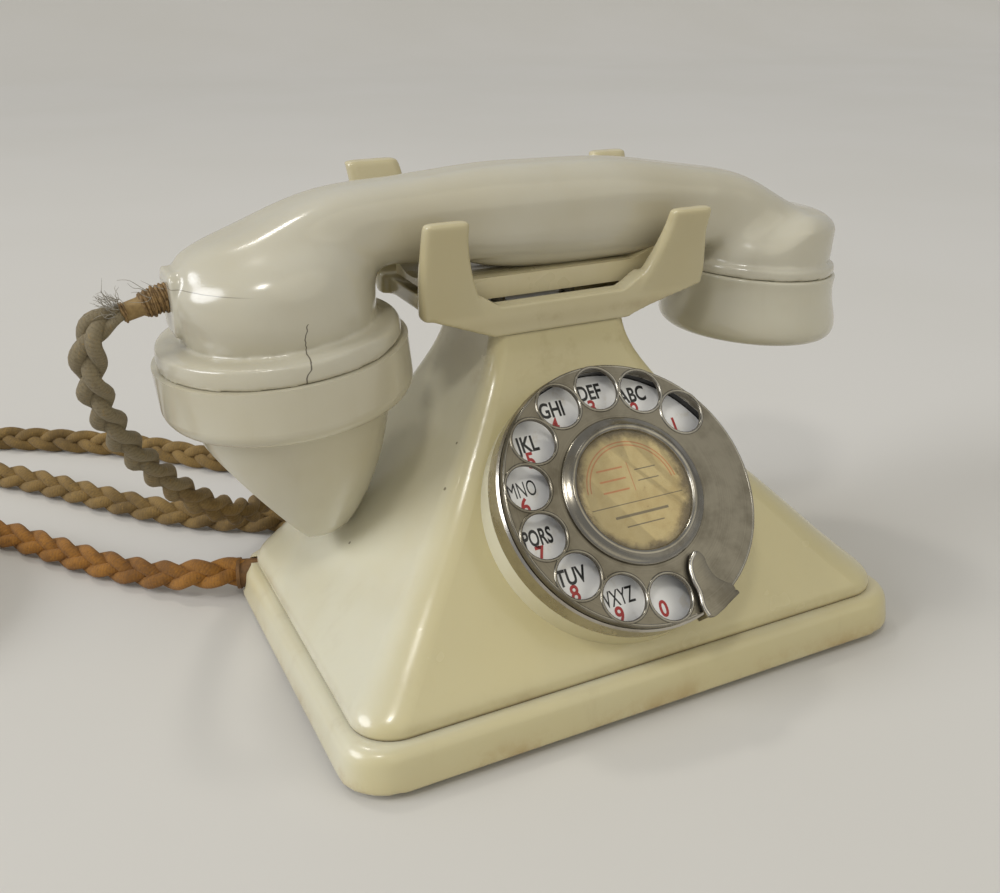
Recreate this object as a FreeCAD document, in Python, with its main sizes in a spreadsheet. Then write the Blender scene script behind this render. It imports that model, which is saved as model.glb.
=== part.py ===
import FreeCAD, Part
import math
import os
import re

import Sketcher

# A table telephone of the 1930s with a pyramid body, a rotary dial and a cradle handset.
# Frame: millimetres, origin under the middle of the base, +Z up, dial towards -Y,
# mouthpiece end of the handset towards -X.

Vec = FreeCAD.Vector
doc = FreeCAD.newDocument("telephone")
sheet = doc.addObject("Spreadsheet::Sheet", "dims")

SIZES = {
    # Base moulding, bottom plate and feet
    "base_width": 184.0, "base_depth": 125.0, "base_corner": 14.0, "foot_height": 2.0,
    "plinth_height": 12.2, "plinth_draft": 1.6, "plinth_round": 2.4, "ledge": 6.0, "wall": 3.2,
    "plate_thick": 1.6, "plate_edge": 5.0, "fit_gap": 0.3, "foot_radius": 8.0, "foot_inset": 21.0,
    "screw_radius": 1.75, "screw_gap": 0.08, "screw_head": 3.2, "head_high": 1.2,
    # Pyramid case
    "case_corner": 12.0, "neck_half": 22.1, "neck_front": -0.6, "neck_depth": 38.0, "neck_top": 96.3,
    "neck_corner": 4.5, "deck_thick": 4.0, "chin_height": 19.5,
    # Dial, measured along its own axis from the top of the finger wheel
    "dial_y": -41.4, "dial_z": 61.1, "dial_tilt": 43.2, "boss_radius": 38.5, "boss_spread": 1.4,
    "boss_drop": 10.5, "boss_high": 24.0, "dial_bore": 36.4, "wheel_radius": 38.0, "wheel_thick": 1.2,
    "rim_drop": 2.6, "rim_wall": 0.9, "hole_radius": 6.4, "hole_circle": 30.9, "hole_first": 38.5,
    "hole_step": 25.63, "rim_radius": 38.7, "rim_thick": 1.4, "rim_top": 3.2, "seat_drop": 6.5,
    "seat_thick": 1.5, "cup_gap": 0.6, "cup_wall": 1.4, "cup_depth": 16.0, "number_radius": 37.1,
    "number_thick": 0.8, "number_bore": 8.0, "dialplate_thick": 1.5, "bridge_drop": 36.5,
    "bridge_radius": 31.0, "pillar_radius": 2.0, "pillar_circle": 27.0, "spindle_radius": 3.4,
    "run_gap": 0.05, "bush_radius": 6.0, "bush_long": 7.0, "gear_drop": 23.5, "gear_thick": 1.5,
    "gear_module": 1.0, "gear_teeth": 44.0, "pinion_teeth": 11.0, "mesh_gap": 0.1, "pinion_angle": 120.0,
    "pinion_thick": 3.5, "pivot_radius": 1.5, "cam_drop": 27.5, "cam_radius": 14.0, "cam_thick": 1.5,
    "barrel_radius": 14.0, "barrel_wall": 1.0, "barrel_deep": 5.5, "spring_bore": 4.6,
    "governor_radius": 10.5, "governor_deep": 6.5, "weight_swing": 8.6, "stop_angle": 297.0,
    "stop_gap": 0.8, "stop_thick": 1.2, "stop_wide": 10.0, "stop_reach": 28.0, "card_radius": 17.7,
    "card_thick": 0.5, "window_thick": 0.8, "ring_radius": 21.5, "ring_high": 2.2, "ring_lip": 1.0,
    # Cradle, plunger and cradle switch
    "fascia_high": 9.1, "fascia_thick": 6.0, "tray_half": 40.8, "arm_rise": 7.4, "tray_floor": 4.6,
    "horn_in": 32.2, "horn_out": 45.3, "horn_foot": 24.0, "horn_thick": 5.0, "horn_lean": 7.2,
    "horn_front": 130.0, "horn_back": 138.8, "horn_splay": 1.6, "horn_rake": 3.0, "plunger_half": 39.6,
         "plunger_flat": 26.0,
    "plunger_low": 105.6, "plunger_thick": 6.2, "plunger_deep": 23.2, "plunger_rise": 4.4,
    "stem_radius": 2.2, "stem_x": 12.0, "guide_radius": 4.0, "guide_long": 12.0, "bar_z": 64.0,
    "bar_thick": 4.0, "bar_deep": 7.0, "shelf_z": 44.0, "bracket_half": 18.0, "bracket_thick": 2.0,
    "bracket_y": 12.6, "spring_radius": 5.0, "spring_wire": 0.9, "spring_turns": 6.0,
    "lever_x": 12.0, "lever_half": 2.0, "lever_y": 9.6, "lever_z": 55.0, "lever_boss": 2.6,
    "pin_radius": 1.0, "blade_thick": 0.4, "blade_step": 2.2,
    # Parts on the bottom plate
    "coil_inset": 42.0, "coil_y": 20.0, "coil_long": 36.0, "coil_radius": 9.5, "cheek_half": 11.0,
    "cheek_thick": 2.0, "core_radius": 4.0, "strip_inset": 47.0, "strip_y": 36.0, "strip_long": 50.0,
    "strip_wide": 12.0, "strip_high": 10.0, "term_radius": 2.4, "term_high": 2.4, "term_count": 5.0,
    # Handset
    "hand_y": 19.0, "mouth_x": -78.6, "mouth_z": 97.0, "hand_tilt": 4.6, "bell_radius": 28.2,
    "bell_high": 33.3, "lip_radius": 33.7, "lip_high": 7.2, "lip_round": 4.4,
    "inset_radius": 25.2, "inset_high": 11.0, "cap_radius": 35.2, "cap_high": 16.5, "cap_round": 5.0,
    "cap_bore": 24.9, "beak_top": 30.0, "beak_drop": 41.9, "beak_shift": 1.2,
    "beak_wall": 2.4, "beak_rim": 3.4, "beak_slope": 56.0, "pad_half": 8.0, "pad_out": 0.8,
         "pad_high": 18.0,
    "ear_x": 83.5, "ear_z": 101.4, "ear_bell": 26.0, "ear_high": 18.5,
    "ear_lip": 27.4, "ear_lip_high": 3.6, "ear_lip_round": 1.2,
    "ear_radius": 28.5, "ear_cap_high": 21.6, "ear_dish": 6.0,
    "ear_hole": 7.0, "ear_wall": 3.0, "receiver_radius": 22.6, "receiver_high": 12.0,
    "diaphragm_thick": 0.5, "handle_z": 127.1, "handle_half": 14.4, "handle_wide": 14.8,
    "cord_z": 114.5, "whip_radius": 5.2, "whip_long": 17.0, "whip_seat": 5.0, "whip_droop": 15.0,
    # Cords and the wall terminal on the line cord
    "cord_size": 8.6, "inlet_z": 8.8, "grommet_wall": 0.65, "grommet_long": 11.0, "flange_radius": 6.2,
    "flange_thick": 1.6, "line_angle": 160.0, "handcord_x": -36.0, "coil_step": 10.4,
    "ring_size": 102.0, "ring_x": -231.0, "ring_y": 98.0, "block_long": 46.0, "block_wide": 34.0,
    "block_base": 6.0, "block_cover": 13.0, "block_round": 3.0,
}

for row, (alias, size) in enumerate(SIZES.items(), 1):
    sheet.set(f"A{row}", alias)
    sheet.set(f"B{row}", str(size))
    sheet.setAlias(f"B{row}", alias)
doc.recompute()

nodes = {}


def val(alias):
    """The number in one cell of the sheet."""
    return float(sheet.get(alias))


def expr(text):
    """An expression in which each bare alias points at the sheet."""
    return re.sub(r"[a-z_]+", lambda m: f"dims.{m.group()}" if m.group() in SIZES else m.group(), str(text))


def bind(thing, **sizes):
    """Ties properties of a document object to expressions over the sheet."""
    for prop, text in sizes.items():
        thing.setExpression(prop, expr(text))
    return thing


def place(thing, x=0, y=0, z=0):
    """Moves an object to a point given as expressions."""
    for axis, text in zip("xyz", (x, y, z)):
        thing.setExpression(f"Placement.Base.{axis}", expr(text))
    return thing


def turn(thing, axis, angle):
    """Turns an object about one axis through its own origin."""
    thing.Placement.Rotation = FreeCAD.Rotation(axis, 10)
    thing.setExpression("Placement.Rotation.Angle", expr(angle))
    return thing


def node(label, thing):
    """Gives a finished sub-part the label that names its file."""
    thing.Label = label
    nodes[label] = thing
    return thing


def box(name, x, y, z):
    """A block between two expressions on each axis."""
    solid = doc.addObject("Part::Box", name)
    bind(solid, Length=f"({x[1]}) - ({x[0]})", Width=f"({y[1]}) - ({y[0]})", Height=f"({z[1]}) - ({z[0]})")
    return place(solid, x[0], y[0], z[0])


def rod(name, radius, low, high, x=0, y=0):
    """A cylinder standing on Z between two heights."""
    solid = doc.addObject("Part::Cylinder", name)
    bind(solid, Radius=radius, Height=f"({high}) - ({low})")
    return place(solid, x, y, low)


def rod_x(name, radius, low, high, y, z):
    """A cylinder lying along X between two ends."""
    solid = doc.addObject("Part::Cylinder", name)
    bind(solid, Radius=radius, Height=f"({high}) - ({low})")
    place(solid, low, y, z)
    return turn(solid, Vec(0, 1, 0), 90)


def fuse(name, *shapes):
    joined = doc.addObject("Part::MultiFuse", name)
    joined.Shapes = list(shapes)
    return joined


def cut(name, base, *tools):
    """Takes one or more shapes out of a base shape."""
    result = doc.addObject("Part::Cut", name)
    result.Base = base
    result.Tool = tools[0] if len(tools) == 1 else fuse(f"{name}_tools", *tools)
    return result


def group(name, shapes):
    """Equal pieces kept as separate solids in one object."""
    pieces = doc.addObject("Part::Compound", name)
    pieces.Links = list(shapes)
    return pieces


def new_body(name):
    return doc.addObject("PartDesign::Body", name)


def sketch_on(body, name, role, offset):
    """An empty sketch on one of the body's own planes, moved along the plane's normal."""
    plane = next(item for item in body.Origin.OriginFeatures if item.Role == role)
    sketch = body.newObject("Sketcher::SketchObject", name)
    sketch.AttachmentSupport = [(plane, "")]
    sketch.MapMode = "FlatFace"
    sketch.setExpression("AttachmentOffset.Base.z", expr(offset))
    return sketch


def drive(sketch, constraint, text):
    """Adds a constraint whose value follows an expression."""
    index = sketch.addConstraint(constraint)
    sketch.setExpression(f"Constraints[{index}]", expr(text))


def outline(body, name, role, offset, points):
    """A closed outline of straight sides whose corners are expressions."""
    sketch = sketch_on(body, name, role, offset)
    corners = [Vec(number(u), number(v), 0) for u, v in points]
    count = len(corners)
    for i in range(count):
        sketch.addGeometry(Part.LineSegment(corners[i], corners[(i + 1) % count]))
    for i in range(count):
        sketch.addConstraint(Sketcher.Constraint("Coincident", i, 2, (i + 1) % count, 1))
    for i, (u, v) in enumerate(points):
        for kind, text, start, axis in (("DistanceX", u, corners[i].x, -2),
                                        ("DistanceY", v, corners[i].y, -1)):
            if str(text) == "0":
                sketch.addConstraint(Sketcher.Constraint("PointOnObject", i, 1, axis))
            else:
                drive(sketch, Sketcher.Constraint(kind, -1, 1, i, 1, start), text)
    return sketch


def number(text):
    """The present value of an expression over the sheet."""
    terms = re.sub(r"[a-z_]+", lambda m: str(val(m.group())), str(text))
    return FreeCAD.Units.Quantity(terms).Value


def rounded(body, name, role, offset, u, v, corner):
    """A rectangle with round corners between two expressions each way."""
    sketch = sketch_on(body, name, role, offset)
    left, right, low, high, bend = (number(text) for text in (u[0], u[1], v[0], v[1], corner))
    sides = ((left + bend, low, right - bend, low), (right, low + bend, right, high - bend),
             (right - bend, high, left + bend, high), (left, high - bend, left, low + bend))
    for x0, y0, x1, y1 in sides:
        sketch.addGeometry(Part.LineSegment(Vec(x0, y0, 0), Vec(x1, y1, 0)))
    centres = ((right - bend, low + bend), (right - bend, high - bend),
               (left + bend, high - bend), (left + bend, low + bend))
    for quarter, (x, y) in enumerate(centres):
        circle = Part.Circle(Vec(x, y, 0), Vec(0, 0, 1), bend)
        start = math.radians(90 * quarter - 90)
        sketch.addGeometry(Part.ArcOfCircle(circle, start, start + math.pi / 2))
    for side in range(4):
        sketch.addConstraint(Sketcher.Constraint("Tangent", side, 2, 4 + side, 1))
        sketch.addConstraint(Sketcher.Constraint("Tangent", 4 + side, 2, (side + 1) % 4, 1))
        sketch.addConstraint(Sketcher.Constraint("Vertical" if side % 2 else "Horizontal", side))
    for arc in (5, 6, 7):
        sketch.addConstraint(Sketcher.Constraint("Equal", 4, arc))
    drive(sketch, Sketcher.Constraint("Radius", 4, bend), corner)
    drive(sketch, Sketcher.Constraint("DistanceX", -1, 1, 3, 1, left), u[0])
    drive(sketch, Sketcher.Constraint("DistanceX", -1, 1, 1, 1, right), u[1])
    drive(sketch, Sketcher.Constraint("DistanceY", -1, 1, 0, 1, low), v[0])
    drive(sketch, Sketcher.Constraint("DistanceY", -1, 1, 2, 1, high), v[1])
    return sketch


def loft(body, name, sections, ruled=False):
    """A solid through sketches of one body."""
    doc.recompute()
    feature = body.newObject("PartDesign::AdditiveLoft", name)
    feature.Profile = sections[0]
    feature.Sections = sections[1:]
    feature.Ruled = ruled
    return feature


def disc_sketch(body, name, height, radius, shift):
    """A circle at one height, whose centre is shifted along X."""
    sketch = sketch_on(body, name, "XY_Plane", height)
    sketch.addGeometry(Part.Circle(Vec(number(shift), 0, 0), Vec(0, 0, 1), number(radius)))
    drive(sketch, Sketcher.Constraint("Radius", 0, number(radius)), radius)
    sketch.addConstraint(Sketcher.Constraint("PointOnObject", 0, 3, -1))
    if shift == "0":
        sketch.addConstraint(Sketcher.Constraint("PointOnObject", 0, 3, -2))
    else:
        drive(sketch, Sketcher.Constraint("DistanceX", -1, 1, 0, 3, number(shift)), shift)
    return sketch


def prism(name, role, points, low, depth):
    """A straight-sided outline padded along its plane's normal."""
    body = new_body(name)
    sketch = outline(body, f"{name}_outline", role, low, points)
    pad = body.newObject("PartDesign::Pad", f"{name}_pad")
    pad.Profile = sketch
    bind(pad, Length=depth)
    return body


def turned(name, points):
    """A lathe-turned piece: an outline of radius and height spun about Z."""
    body = new_body(name)
    sketch = outline(body, f"{name}_outline", "XZ_Plane", 0, points)
    spin = body.newObject("PartDesign::Revolution", f"{name}_spin")
    spin.Profile = sketch
    spin.ReferenceAxis = (sketch, ["V_Axis"])
    spin.Angle = 360
    return body


def domed(name, radius, height, bend, at_top=True):
    """A round boss whose top or bottom edge has a fillet."""
    body = new_body(name)
    sketch = sketch_on(body, f"{name}_circle", "XY_Plane", 0)
    sketch.addGeometry(Part.Circle(Vec(0, 0, 0), Vec(0, 0, 1), number(radius)))
    sketch.addConstraint(Sketcher.Constraint("Coincident", 0, 3, -1, 1))
    drive(sketch, Sketcher.Constraint("Radius", 0, number(radius)), radius)
    pad = body.newObject("PartDesign::Pad", f"{name}_pad")
    pad.Profile = sketch
    bind(pad, Length=height)
    doc.recompute()
    level = number(height) if at_top else 0.0
    edge = next(i for i, e in enumerate(pad.Shape.Edges, 1)
                if len(e.Vertexes) == 1 and abs(e.BoundBox.ZMin - level) < 1e-6
                and e.BoundBox.ZLength < 1e-6)
    fillet = body.newObject("PartDesign::Fillet", f"{name}_fillet")
    fillet.Base = (pad, [f"Edge{edge}"])
    bind(fillet, Radius=bend)
    return body


def unit(vector):
    return vector * (1 / vector.Length)


def arc_from(start, way, end):
    """The arc that leaves a point in a given direction and ends at another point."""
    chord = end - start
    along = unit(chord)
    side = way - along * way.dot(along)
    angle = way.getAngle(chord)
    bulge = (start + end) * 0.5 + unit(side) * (chord.Length / 2 * math.tan(angle / 2))
    return Part.Arc(start, bulge, end).toShape()


def biarc(start, way_in, end, way_out):
    """Two arcs that join two points and keep both directions."""
    span, ways = end - start, way_in + way_out
    spare = 2 * (1 - way_in.dot(way_out))
    reach = (-span.dot(ways) + math.sqrt(span.dot(ways) ** 2 + spare * span.dot(span))) / spare
    joint = (start + way_in * reach + end - way_out * reach) * 0.5
    second = arc_from(end, way_out * -1, joint)
    second = Part.Arc(joint, second.valueAt((second.FirstParameter + second.LastParameter) / 2),
                      end).toShape()
    return [arc_from(start, way_in, joint), second]


def pipe_along(edges, radius):
    """A round rod or tube of one radius along a smooth path."""
    first = edges[0]
    ring = Part.Wire(Part.makeCircle(radius, first.valueAt(first.FirstParameter),
                                     first.tangentAt(first.FirstParameter)))
    return Part.Wire(edges).makePipeShell([ring], True, False)


X_AXIS, Y_AXIS, Z_AXIS = Vec(1, 0, 0), Vec(0, 1, 0), Vec(0, 0, 1)
PLINTH_TOP = "foot_height + plinth_height"
PLATE_TOP = "foot_height + plate_thick"
NECK_MIDDLE = "neck_front + neck_depth / 2"
DECK_UNDER = "neck_top - deck_thick"


# Base: plinth ring, bottom plate, feet and the screws that close it
def half(size, inset=0):
    return f"-({size} / 2 - ({inset}))", f"{size} / 2 - ({inset})"


plinth_body = new_body("plinth_outer")
loft(plinth_body, "plinth_loft", [
    rounded(plinth_body, "plinth_low", "XY_Plane", "foot_height", half("base_width"), half("base_depth"),
            "base_corner"),
    rounded(plinth_body, "plinth_mid", "XY_Plane", f"{PLINTH_TOP} - plinth_round",
            half("base_width", "plinth_draft"), half("base_depth", "plinth_draft"),
            "base_corner - plinth_draft"),
    rounded(plinth_body, "plinth_high", "XY_Plane", PLINTH_TOP,
            half("base_width", "plinth_draft + plinth_round"),
            half("base_depth", "plinth_draft + plinth_round"),
            "base_corner - plinth_draft - plinth_round"),
], ruled=True)


def slab(name, inset, corner, low, high):
    """A plate with round corners, inset from the base's outline."""
    body = new_body(name)
    sketch = rounded(body, f"{name}_outline", "XY_Plane", low, half("base_width", inset),
                     half("base_depth", inset), corner)
    pad = body.newObject("PartDesign::Pad", f"{name}_pad")
    pad.Profile = sketch
    bind(pad, Length=f"({high}) - ({low})")
    return body


RING_INSET = "ledge + wall + 1"
SCREW_X = "base_width / 2 - (ledge + wall + 1 + plate_edge) / 2"
FOOT_X, FOOT_Y = "base_width / 2 - foot_inset", "base_depth / 2 - foot_inset"
SIGNS = ((-1, -1), (1, -1), (-1, 1), (1, 1))


def corners_of(name, radius, low, high, x, y):
    """Four equal rods in the corners of a rectangle."""
    return [rod(f"{name}_{i}", radius, low, high, f"{sx} * ({x})", f"{sy} * ({y})")
            for i, (sx, sy) in enumerate(SIGNS)]


SCREW_HOLE = "screw_radius + screw_gap"
SCREW_END = f"{PLINTH_TOP} - 4"
ARC_X, ARC_Y = "(base_corner - base_width / 2)", "(base_depth / 2 - base_corner)"
LINE_OUT = "base_corner"


def along_line(distance, axis):
    """A coordinate on the line cord's inlet, which points out of the base's round corner."""
    wave = "cos" if axis == "x" else "sin"
    centre = ARC_X if axis == "x" else ARC_Y
    return f"{centre} + ({distance}) * {wave}(line_angle * 1 deg)"


def inlet_rods(name, radius, depth, reach):
    """One rod along each of the two cord inlets, from inside the wall to outside it."""
    line = doc.addObject("Part::Cylinder", f"{name}_line")
    bind(line, Radius=radius, Height=f"({depth}) + ({reach})")
    line.Placement.Rotation = FreeCAD.Rotation(Vec(0, 0, 1), Vec(math.cos(math.radians(val("line_angle"))),
                                                             math.sin(math.radians(val("line_angle"))), 0))
    start = f"{LINE_OUT} - ({depth})"
    place(line, along_line(start, "x"), along_line(start, "y"), "inlet_z")
    hand = doc.addObject("Part::Cylinder", f"{name}_hand")
    bind(hand, Radius=radius, Height=f"({depth}) + ({reach})")
    place(hand, "handcord_x", f"base_depth / 2 - ({depth})", "inlet_z")
    turn(hand, Vec(-1, 0, 0), 90)
    return line, hand


GROMMET_RADIUS = "cord_size / 2 + grommet_wall"
node("base_plinth", cut(
    "plinth_cut", plinth_body,
    slab("plinth_opening", RING_INSET, "base_corner - 8", "foot_height - 1", f"{PLINTH_TOP} + 1"),
    slab("plinth_rebate", "plate_edge", "base_corner - 4", "foot_height - 1", PLATE_TOP),
    *corners_of("plinth_hole", SCREW_HOLE, PLATE_TOP, f"{SCREW_END} + 0.5", SCREW_X, "base_depth / 4"),
    *inlet_rods("inlet_hole", GROMMET_RADIUS, "grommet_long * 1.4", "2")))
node("base_plate", cut(
    "plate_cut", slab("plate_blank", "plate_edge + fit_gap", "base_corner - 4", "foot_height", PLATE_TOP),
    *corners_of("plate_hole", SCREW_HOLE, "foot_height - 1", f"{PLATE_TOP} + 1", SCREW_X,
                "base_depth / 4")))
node("base_feet", group("feet", corners_of("foot", "foot_radius", "0", "foot_height", FOOT_X, FOOT_Y)))
heads = corners_of("screw_head", "screw_head", "foot_height - head_high", "foot_height", SCREW_X,
                   "base_depth / 4")
shanks = corners_of("screw_shank", "screw_radius", "foot_height", SCREW_END, SCREW_X, "base_depth / 4")
node("base_screws", group("screws", [fuse(f"screw_{i}", *pair) for i,
                                     pair in enumerate(zip(heads, shanks))]))
grommet_tubes = inlet_rods("grommet_tube", GROMMET_RADIUS, "grommet_long", "0")
grommet_flanges = inlet_rods("grommet_flange", "flange_radius", "0", "flange_thick")
grommet_bores = inlet_rods("grommet_bore", "cord_size / 2", "grommet_long + 1", "flange_thick + 1")
node("cord_grommets", group("grommets", [
    cut(f"grommet_{i}", fuse(f"grommet_body_{i}", tube, flange), bore)
    for i, (tube, flange, bore) in enumerate(zip(grommet_tubes, grommet_flanges, grommet_bores))]))

# Pyramid case: one moulded shell that sweeps from the base up to a narrow neck.
# Each pair is a share of the height and the share of the way from the skirt to the neck.
FLARE = ((0, 0), (0.034, 0), (0.077, 0.045), (0.126, 0.115), (0.314, 0.355), (0.51, 0.6), (0.655, 0.745),
         (0.79, 0.875), (0.9, 0.962), (1, 1))


def case_section(body, name, height, share, inset):
    """The case's outline at one height, inset by the wall for the inner side."""
    reach_x = f"(base_width / 2 - ledge) * (1 - {share}) + neck_half * {share} - ({inset})"
    front = f"(ledge - base_depth / 2) * (1 - {share}) + neck_front * {share} + ({inset})"
    back = f"(base_depth / 2 - ledge) * (1 - {share}) + (neck_front + neck_depth) * {share} - ({inset})"
    bend = f"case_corner * (1 - {share}) + neck_corner * {share} - ({inset})"
    return rounded(body, name, "XY_Plane", height, (f"-({reach_x})", reach_x), (front, back), bend)


def case_form(name, inset, top):
    body = new_body(name)
    heights = [f"{PLINTH_TOP} + ({top} - ({PLINTH_TOP})) * {rise}" for rise, _ in FLARE]
    loft(body, f"{name}_loft", [case_section(body, f"{name}_{i}", height, share, inset)
                                for i, (height, (_, share)) in enumerate(zip(heights, FLARE))])
    return body


def free(thing):
    """A block or rod keeps its own place, so it is moved inside a group."""
    if thing.TypeId in ("Part::Box", "Part::Cylinder"):
        return group(f"{thing.Name}_group", [thing])
    return thing


def on_dial(thing):
    """Stands a piece, made along Z from the wheel's top, on the dial's sloping axis."""
    moved = place(free(thing), 0, "dial_y", "dial_z")
    return turn(moved, X_AXIS, "90 - dial_tilt")


def on_dial_at(thing, point):
    """Stands a piece on an axis beside the dial's own, at a point given in the dial's plane."""
    across, up = point
    place(thing, across, f"dial_y + ({up}) * sin(dial_tilt * 1 deg)",
          f"dial_z + ({up}) * cos(dial_tilt * 1 deg)")
    return turn(thing, X_AXIS, "90 - dial_tilt")


boss = doc.addObject("Part::Cone", "dial_boss")
bind(boss, Radius1="boss_radius + boss_spread", Radius2="boss_radius", Height="boss_high")
place(boss, 0, 0, "-boss_drop - boss_high")
boss_seat = on_dial(fuse("boss_seat", boss, rod("boss_core", "boss_radius", "-boss_drop - boss_high / 2",
                                                "-boss_drop")))
boss_trim = doc.addObject("Part::Common", "boss_trim")
boss_trim.Base = boss_seat
boss_trim.Tool = box("boss_room", ("-base_width / 2", "base_width / 2"), ("-base_depth", "base_depth"),
                     ("chin_height", "neck_top"))
case_hull = fuse("case_hull", case_form("case_outer", "0", "neck_top"), boss_trim)
bore_blank = rod("dial_bore_rod", "dial_bore", "-boss_drop - boss_high * 2", "-boss_drop + 1")
STEM_HOLE = "stem_radius + run_gap"


def both_stems(name, radius, low, high):
    return [rod(f"{name}_{i}", radius, low, high, f"{side} * stem_x", NECK_MIDDLE) for i,
            side in enumerate((-1, 1))]


CRADLE_SCREW_Y = "neck_depth / 2 - wall - 7.4"


def cradle_screw_rods(name, radius, low, high):
    return [rod(f"{name}_{i}", radius, low, high, 0, f"{NECK_MIDDLE} + {side} * ({CRADLE_SCREW_Y})")
            for i, side in enumerate((-1, 1))]


node("body_case", cut(
    "case_cut", case_hull, case_form("case_inner", "wall", DECK_UNDER), on_dial(bore_blank),
    *both_stems("deck_hole", STEM_HOLE, f"{DECK_UNDER} - 1", "neck_top + 1"),
    *cradle_screw_rods("deck_screw_hole", SCREW_HOLE, f"{DECK_UNDER} - 1", "neck_top + 1")))

# Cradle: a tray with a faceted underside and four horns that keep the handset in place
TRAY_FRONT = f"({NECK_MIDDLE}) - neck_depth / 2 - 0.6"
TRAY_BACK = f"({NECK_MIDDLE}) + neck_depth / 2 + 0.6"
ARM_LOW = "neck_top + arm_rise"
FASCIA_TOP = "neck_top + fascia_high"
tray_points = (("-neck_half", "neck_top"), ("neck_half", "neck_top"), ("tray_half", ARM_LOW),
               ("tray_half", f"{ARM_LOW} + tray_floor"), ("neck_half", "neck_top + tray_floor"),
               ("-neck_half", "neck_top + tray_floor"), ("-tray_half", f"{ARM_LOW} + tray_floor"),
               ("-tray_half", ARM_LOW))
tray = prism("cradle_tray", "XZ_Plane", tray_points, f"-({TRAY_BACK})", f"({TRAY_BACK}) - ({TRAY_FRONT})")
FASCIA_HALF = "neck_half - 1.5"
ARM_X = "tray_half + 2.8"
fascia_points = (("-neck_half", "neck_top"), ("neck_half", "neck_top"), (ARM_X, f"{ARM_LOW} + 0.6"),
                 (ARM_X, f"{FASCIA_TOP} + 4"), ("horn_foot + 3", f"{FASCIA_TOP} + 4"),
                 (FASCIA_HALF, FASCIA_TOP),
                 (f"-({FASCIA_HALF})", FASCIA_TOP), ("-horn_foot - 3", f"{FASCIA_TOP} + 4"),
                 (f"-({ARM_X})", f"{FASCIA_TOP} + 4"), (f"-({ARM_X})", f"{ARM_LOW} + 0.6"))
fascias = [prism("cradle_front", "XZ_Plane", fascia_points, f"-({TRAY_FRONT}) - fascia_thick",
                 "fascia_thick"),
           prism("cradle_back", "XZ_Plane", fascia_points, f"-({TRAY_BACK})", "fascia_thick")]


def horn(name, side, facing, top):
    """One horn: it narrows upwards, hollow towards the middle, and leans away from the handset."""
    body = new_body(name)
    edge = TRAY_FRONT if facing < 0 else TRAY_BACK
    foot, tip = f"{FASCIA_TOP} - 2", top
    splay, rake = ("0", "0") if facing < 0 else ("horn_splay", "horn_rake")
    levels = ((0, "horn_foot", f"{ARM_X}", "0", "fascia_thick"),
              (0.36, "horn_in - 3.4", "horn_out - 0.4", f"(horn_lean + {rake}) * 0.3",
               "fascia_thick * 0.9"),
              (1, f"horn_in + {splay}", f"horn_out + {splay}", f"horn_lean + {rake}", "horn_thick"))
    sections = []
    for i, (rise, inner, outer, lean, thick) in enumerate(levels):
        outside = f"({edge}) + {facing} * ({lean})"
        inside = f"({outside}) - {facing} * ({thick})"
        across = (inner, outer) if side > 0 else (f"-({outer})", f"-({inner})")
        along = (outside, inside) if facing < 0 else (inside, outside)
        sections.append(rounded(body, f"{name}_{i}", "XY_Plane",
                                f"({foot}) * (1 - {rise}) + ({tip}) * {rise}",
                                across, along, "horn_thick * 0.36"))
    loft(body, f"{name}_loft", sections)
    return body


horns = [horn(f"horn_{i}", sx, sy, "horn_front" if sy < 0 else "horn_back") for i,
         (sx, sy) in enumerate(SIGNS)]
node("cradle", cut("cradle_cut", fuse("cradle_whole", tray, *fascias, *horns),
                   *both_stems("tray_hole", STEM_HOLE, "neck_top - 1", "neck_top + tray_floor + 1"),
                   *cradle_screw_rods("tray_screw_hole", SCREW_HOLE, "neck_top - 1",
                                      "neck_top + tray_floor - 1")))
CRADLE_SCREW_TOP = "neck_top + tray_floor - 1.4"
node("cradle_screws", group("cradle_screw_set", [fuse(f"cradle_screw_{i}", *pair) for i,
                                                 pair in enumerate(zip(
    cradle_screw_rods("cradle_shank", "screw_radius", DECK_UNDER, CRADLE_SCREW_TOP),
    cradle_screw_rods("cradle_head", "screw_head", f"{DECK_UNDER} - head_high", DECK_UNDER)))]))

# Plunger: the bar under the handset's handle, its two stems and the spring that lifts it
PLUNGER_TOP = "plunger_low + plunger_thick"
plunger_points = (("-plunger_flat", "plunger_low"), ("plunger_flat", "plunger_low"),
                  ("plunger_half", "plunger_low + plunger_rise"), ("plunger_half", f"{PLUNGER_TOP} + 3"),
                  ("plunger_half - 4", f"{PLUNGER_TOP} + 3"), ("plunger_flat + 2", PLUNGER_TOP),
                  ("-plunger_flat - 2", PLUNGER_TOP), ("4 - plunger_half", f"{PLUNGER_TOP} + 3"),
                  ("-plunger_half", f"{PLUNGER_TOP} + 3"), ("-plunger_half", "plunger_low + plunger_rise"))
plunger_blank = prism("plunger_blank", "XZ_Plane", plunger_points, f"-({NECK_MIDDLE}) - plunger_deep / 2",
                      "plunger_deep")
handle_groove = rod_x("handle_groove", "handle_half + 5.6", "-base_width / 2", "base_width / 2",
                      "hand_y", "handle_z + 4.6")
node("plunger_bar", cut("plunger_cut", plunger_blank, handle_groove))
cross_bar = box("plunger_cross", ("-stem_x - 3", "stem_x + 3"),
                (f"{NECK_MIDDLE} - bar_deep / 2", f"{NECK_MIDDLE} + bar_deep / 2"),
                ("bar_z", "bar_z + bar_thick"))
node("plunger_stems", fuse("stems_whole", cross_bar, *both_stems("stem", "stem_radius", "bar_z + 1",
                                                                 "plunger_low")))
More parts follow.
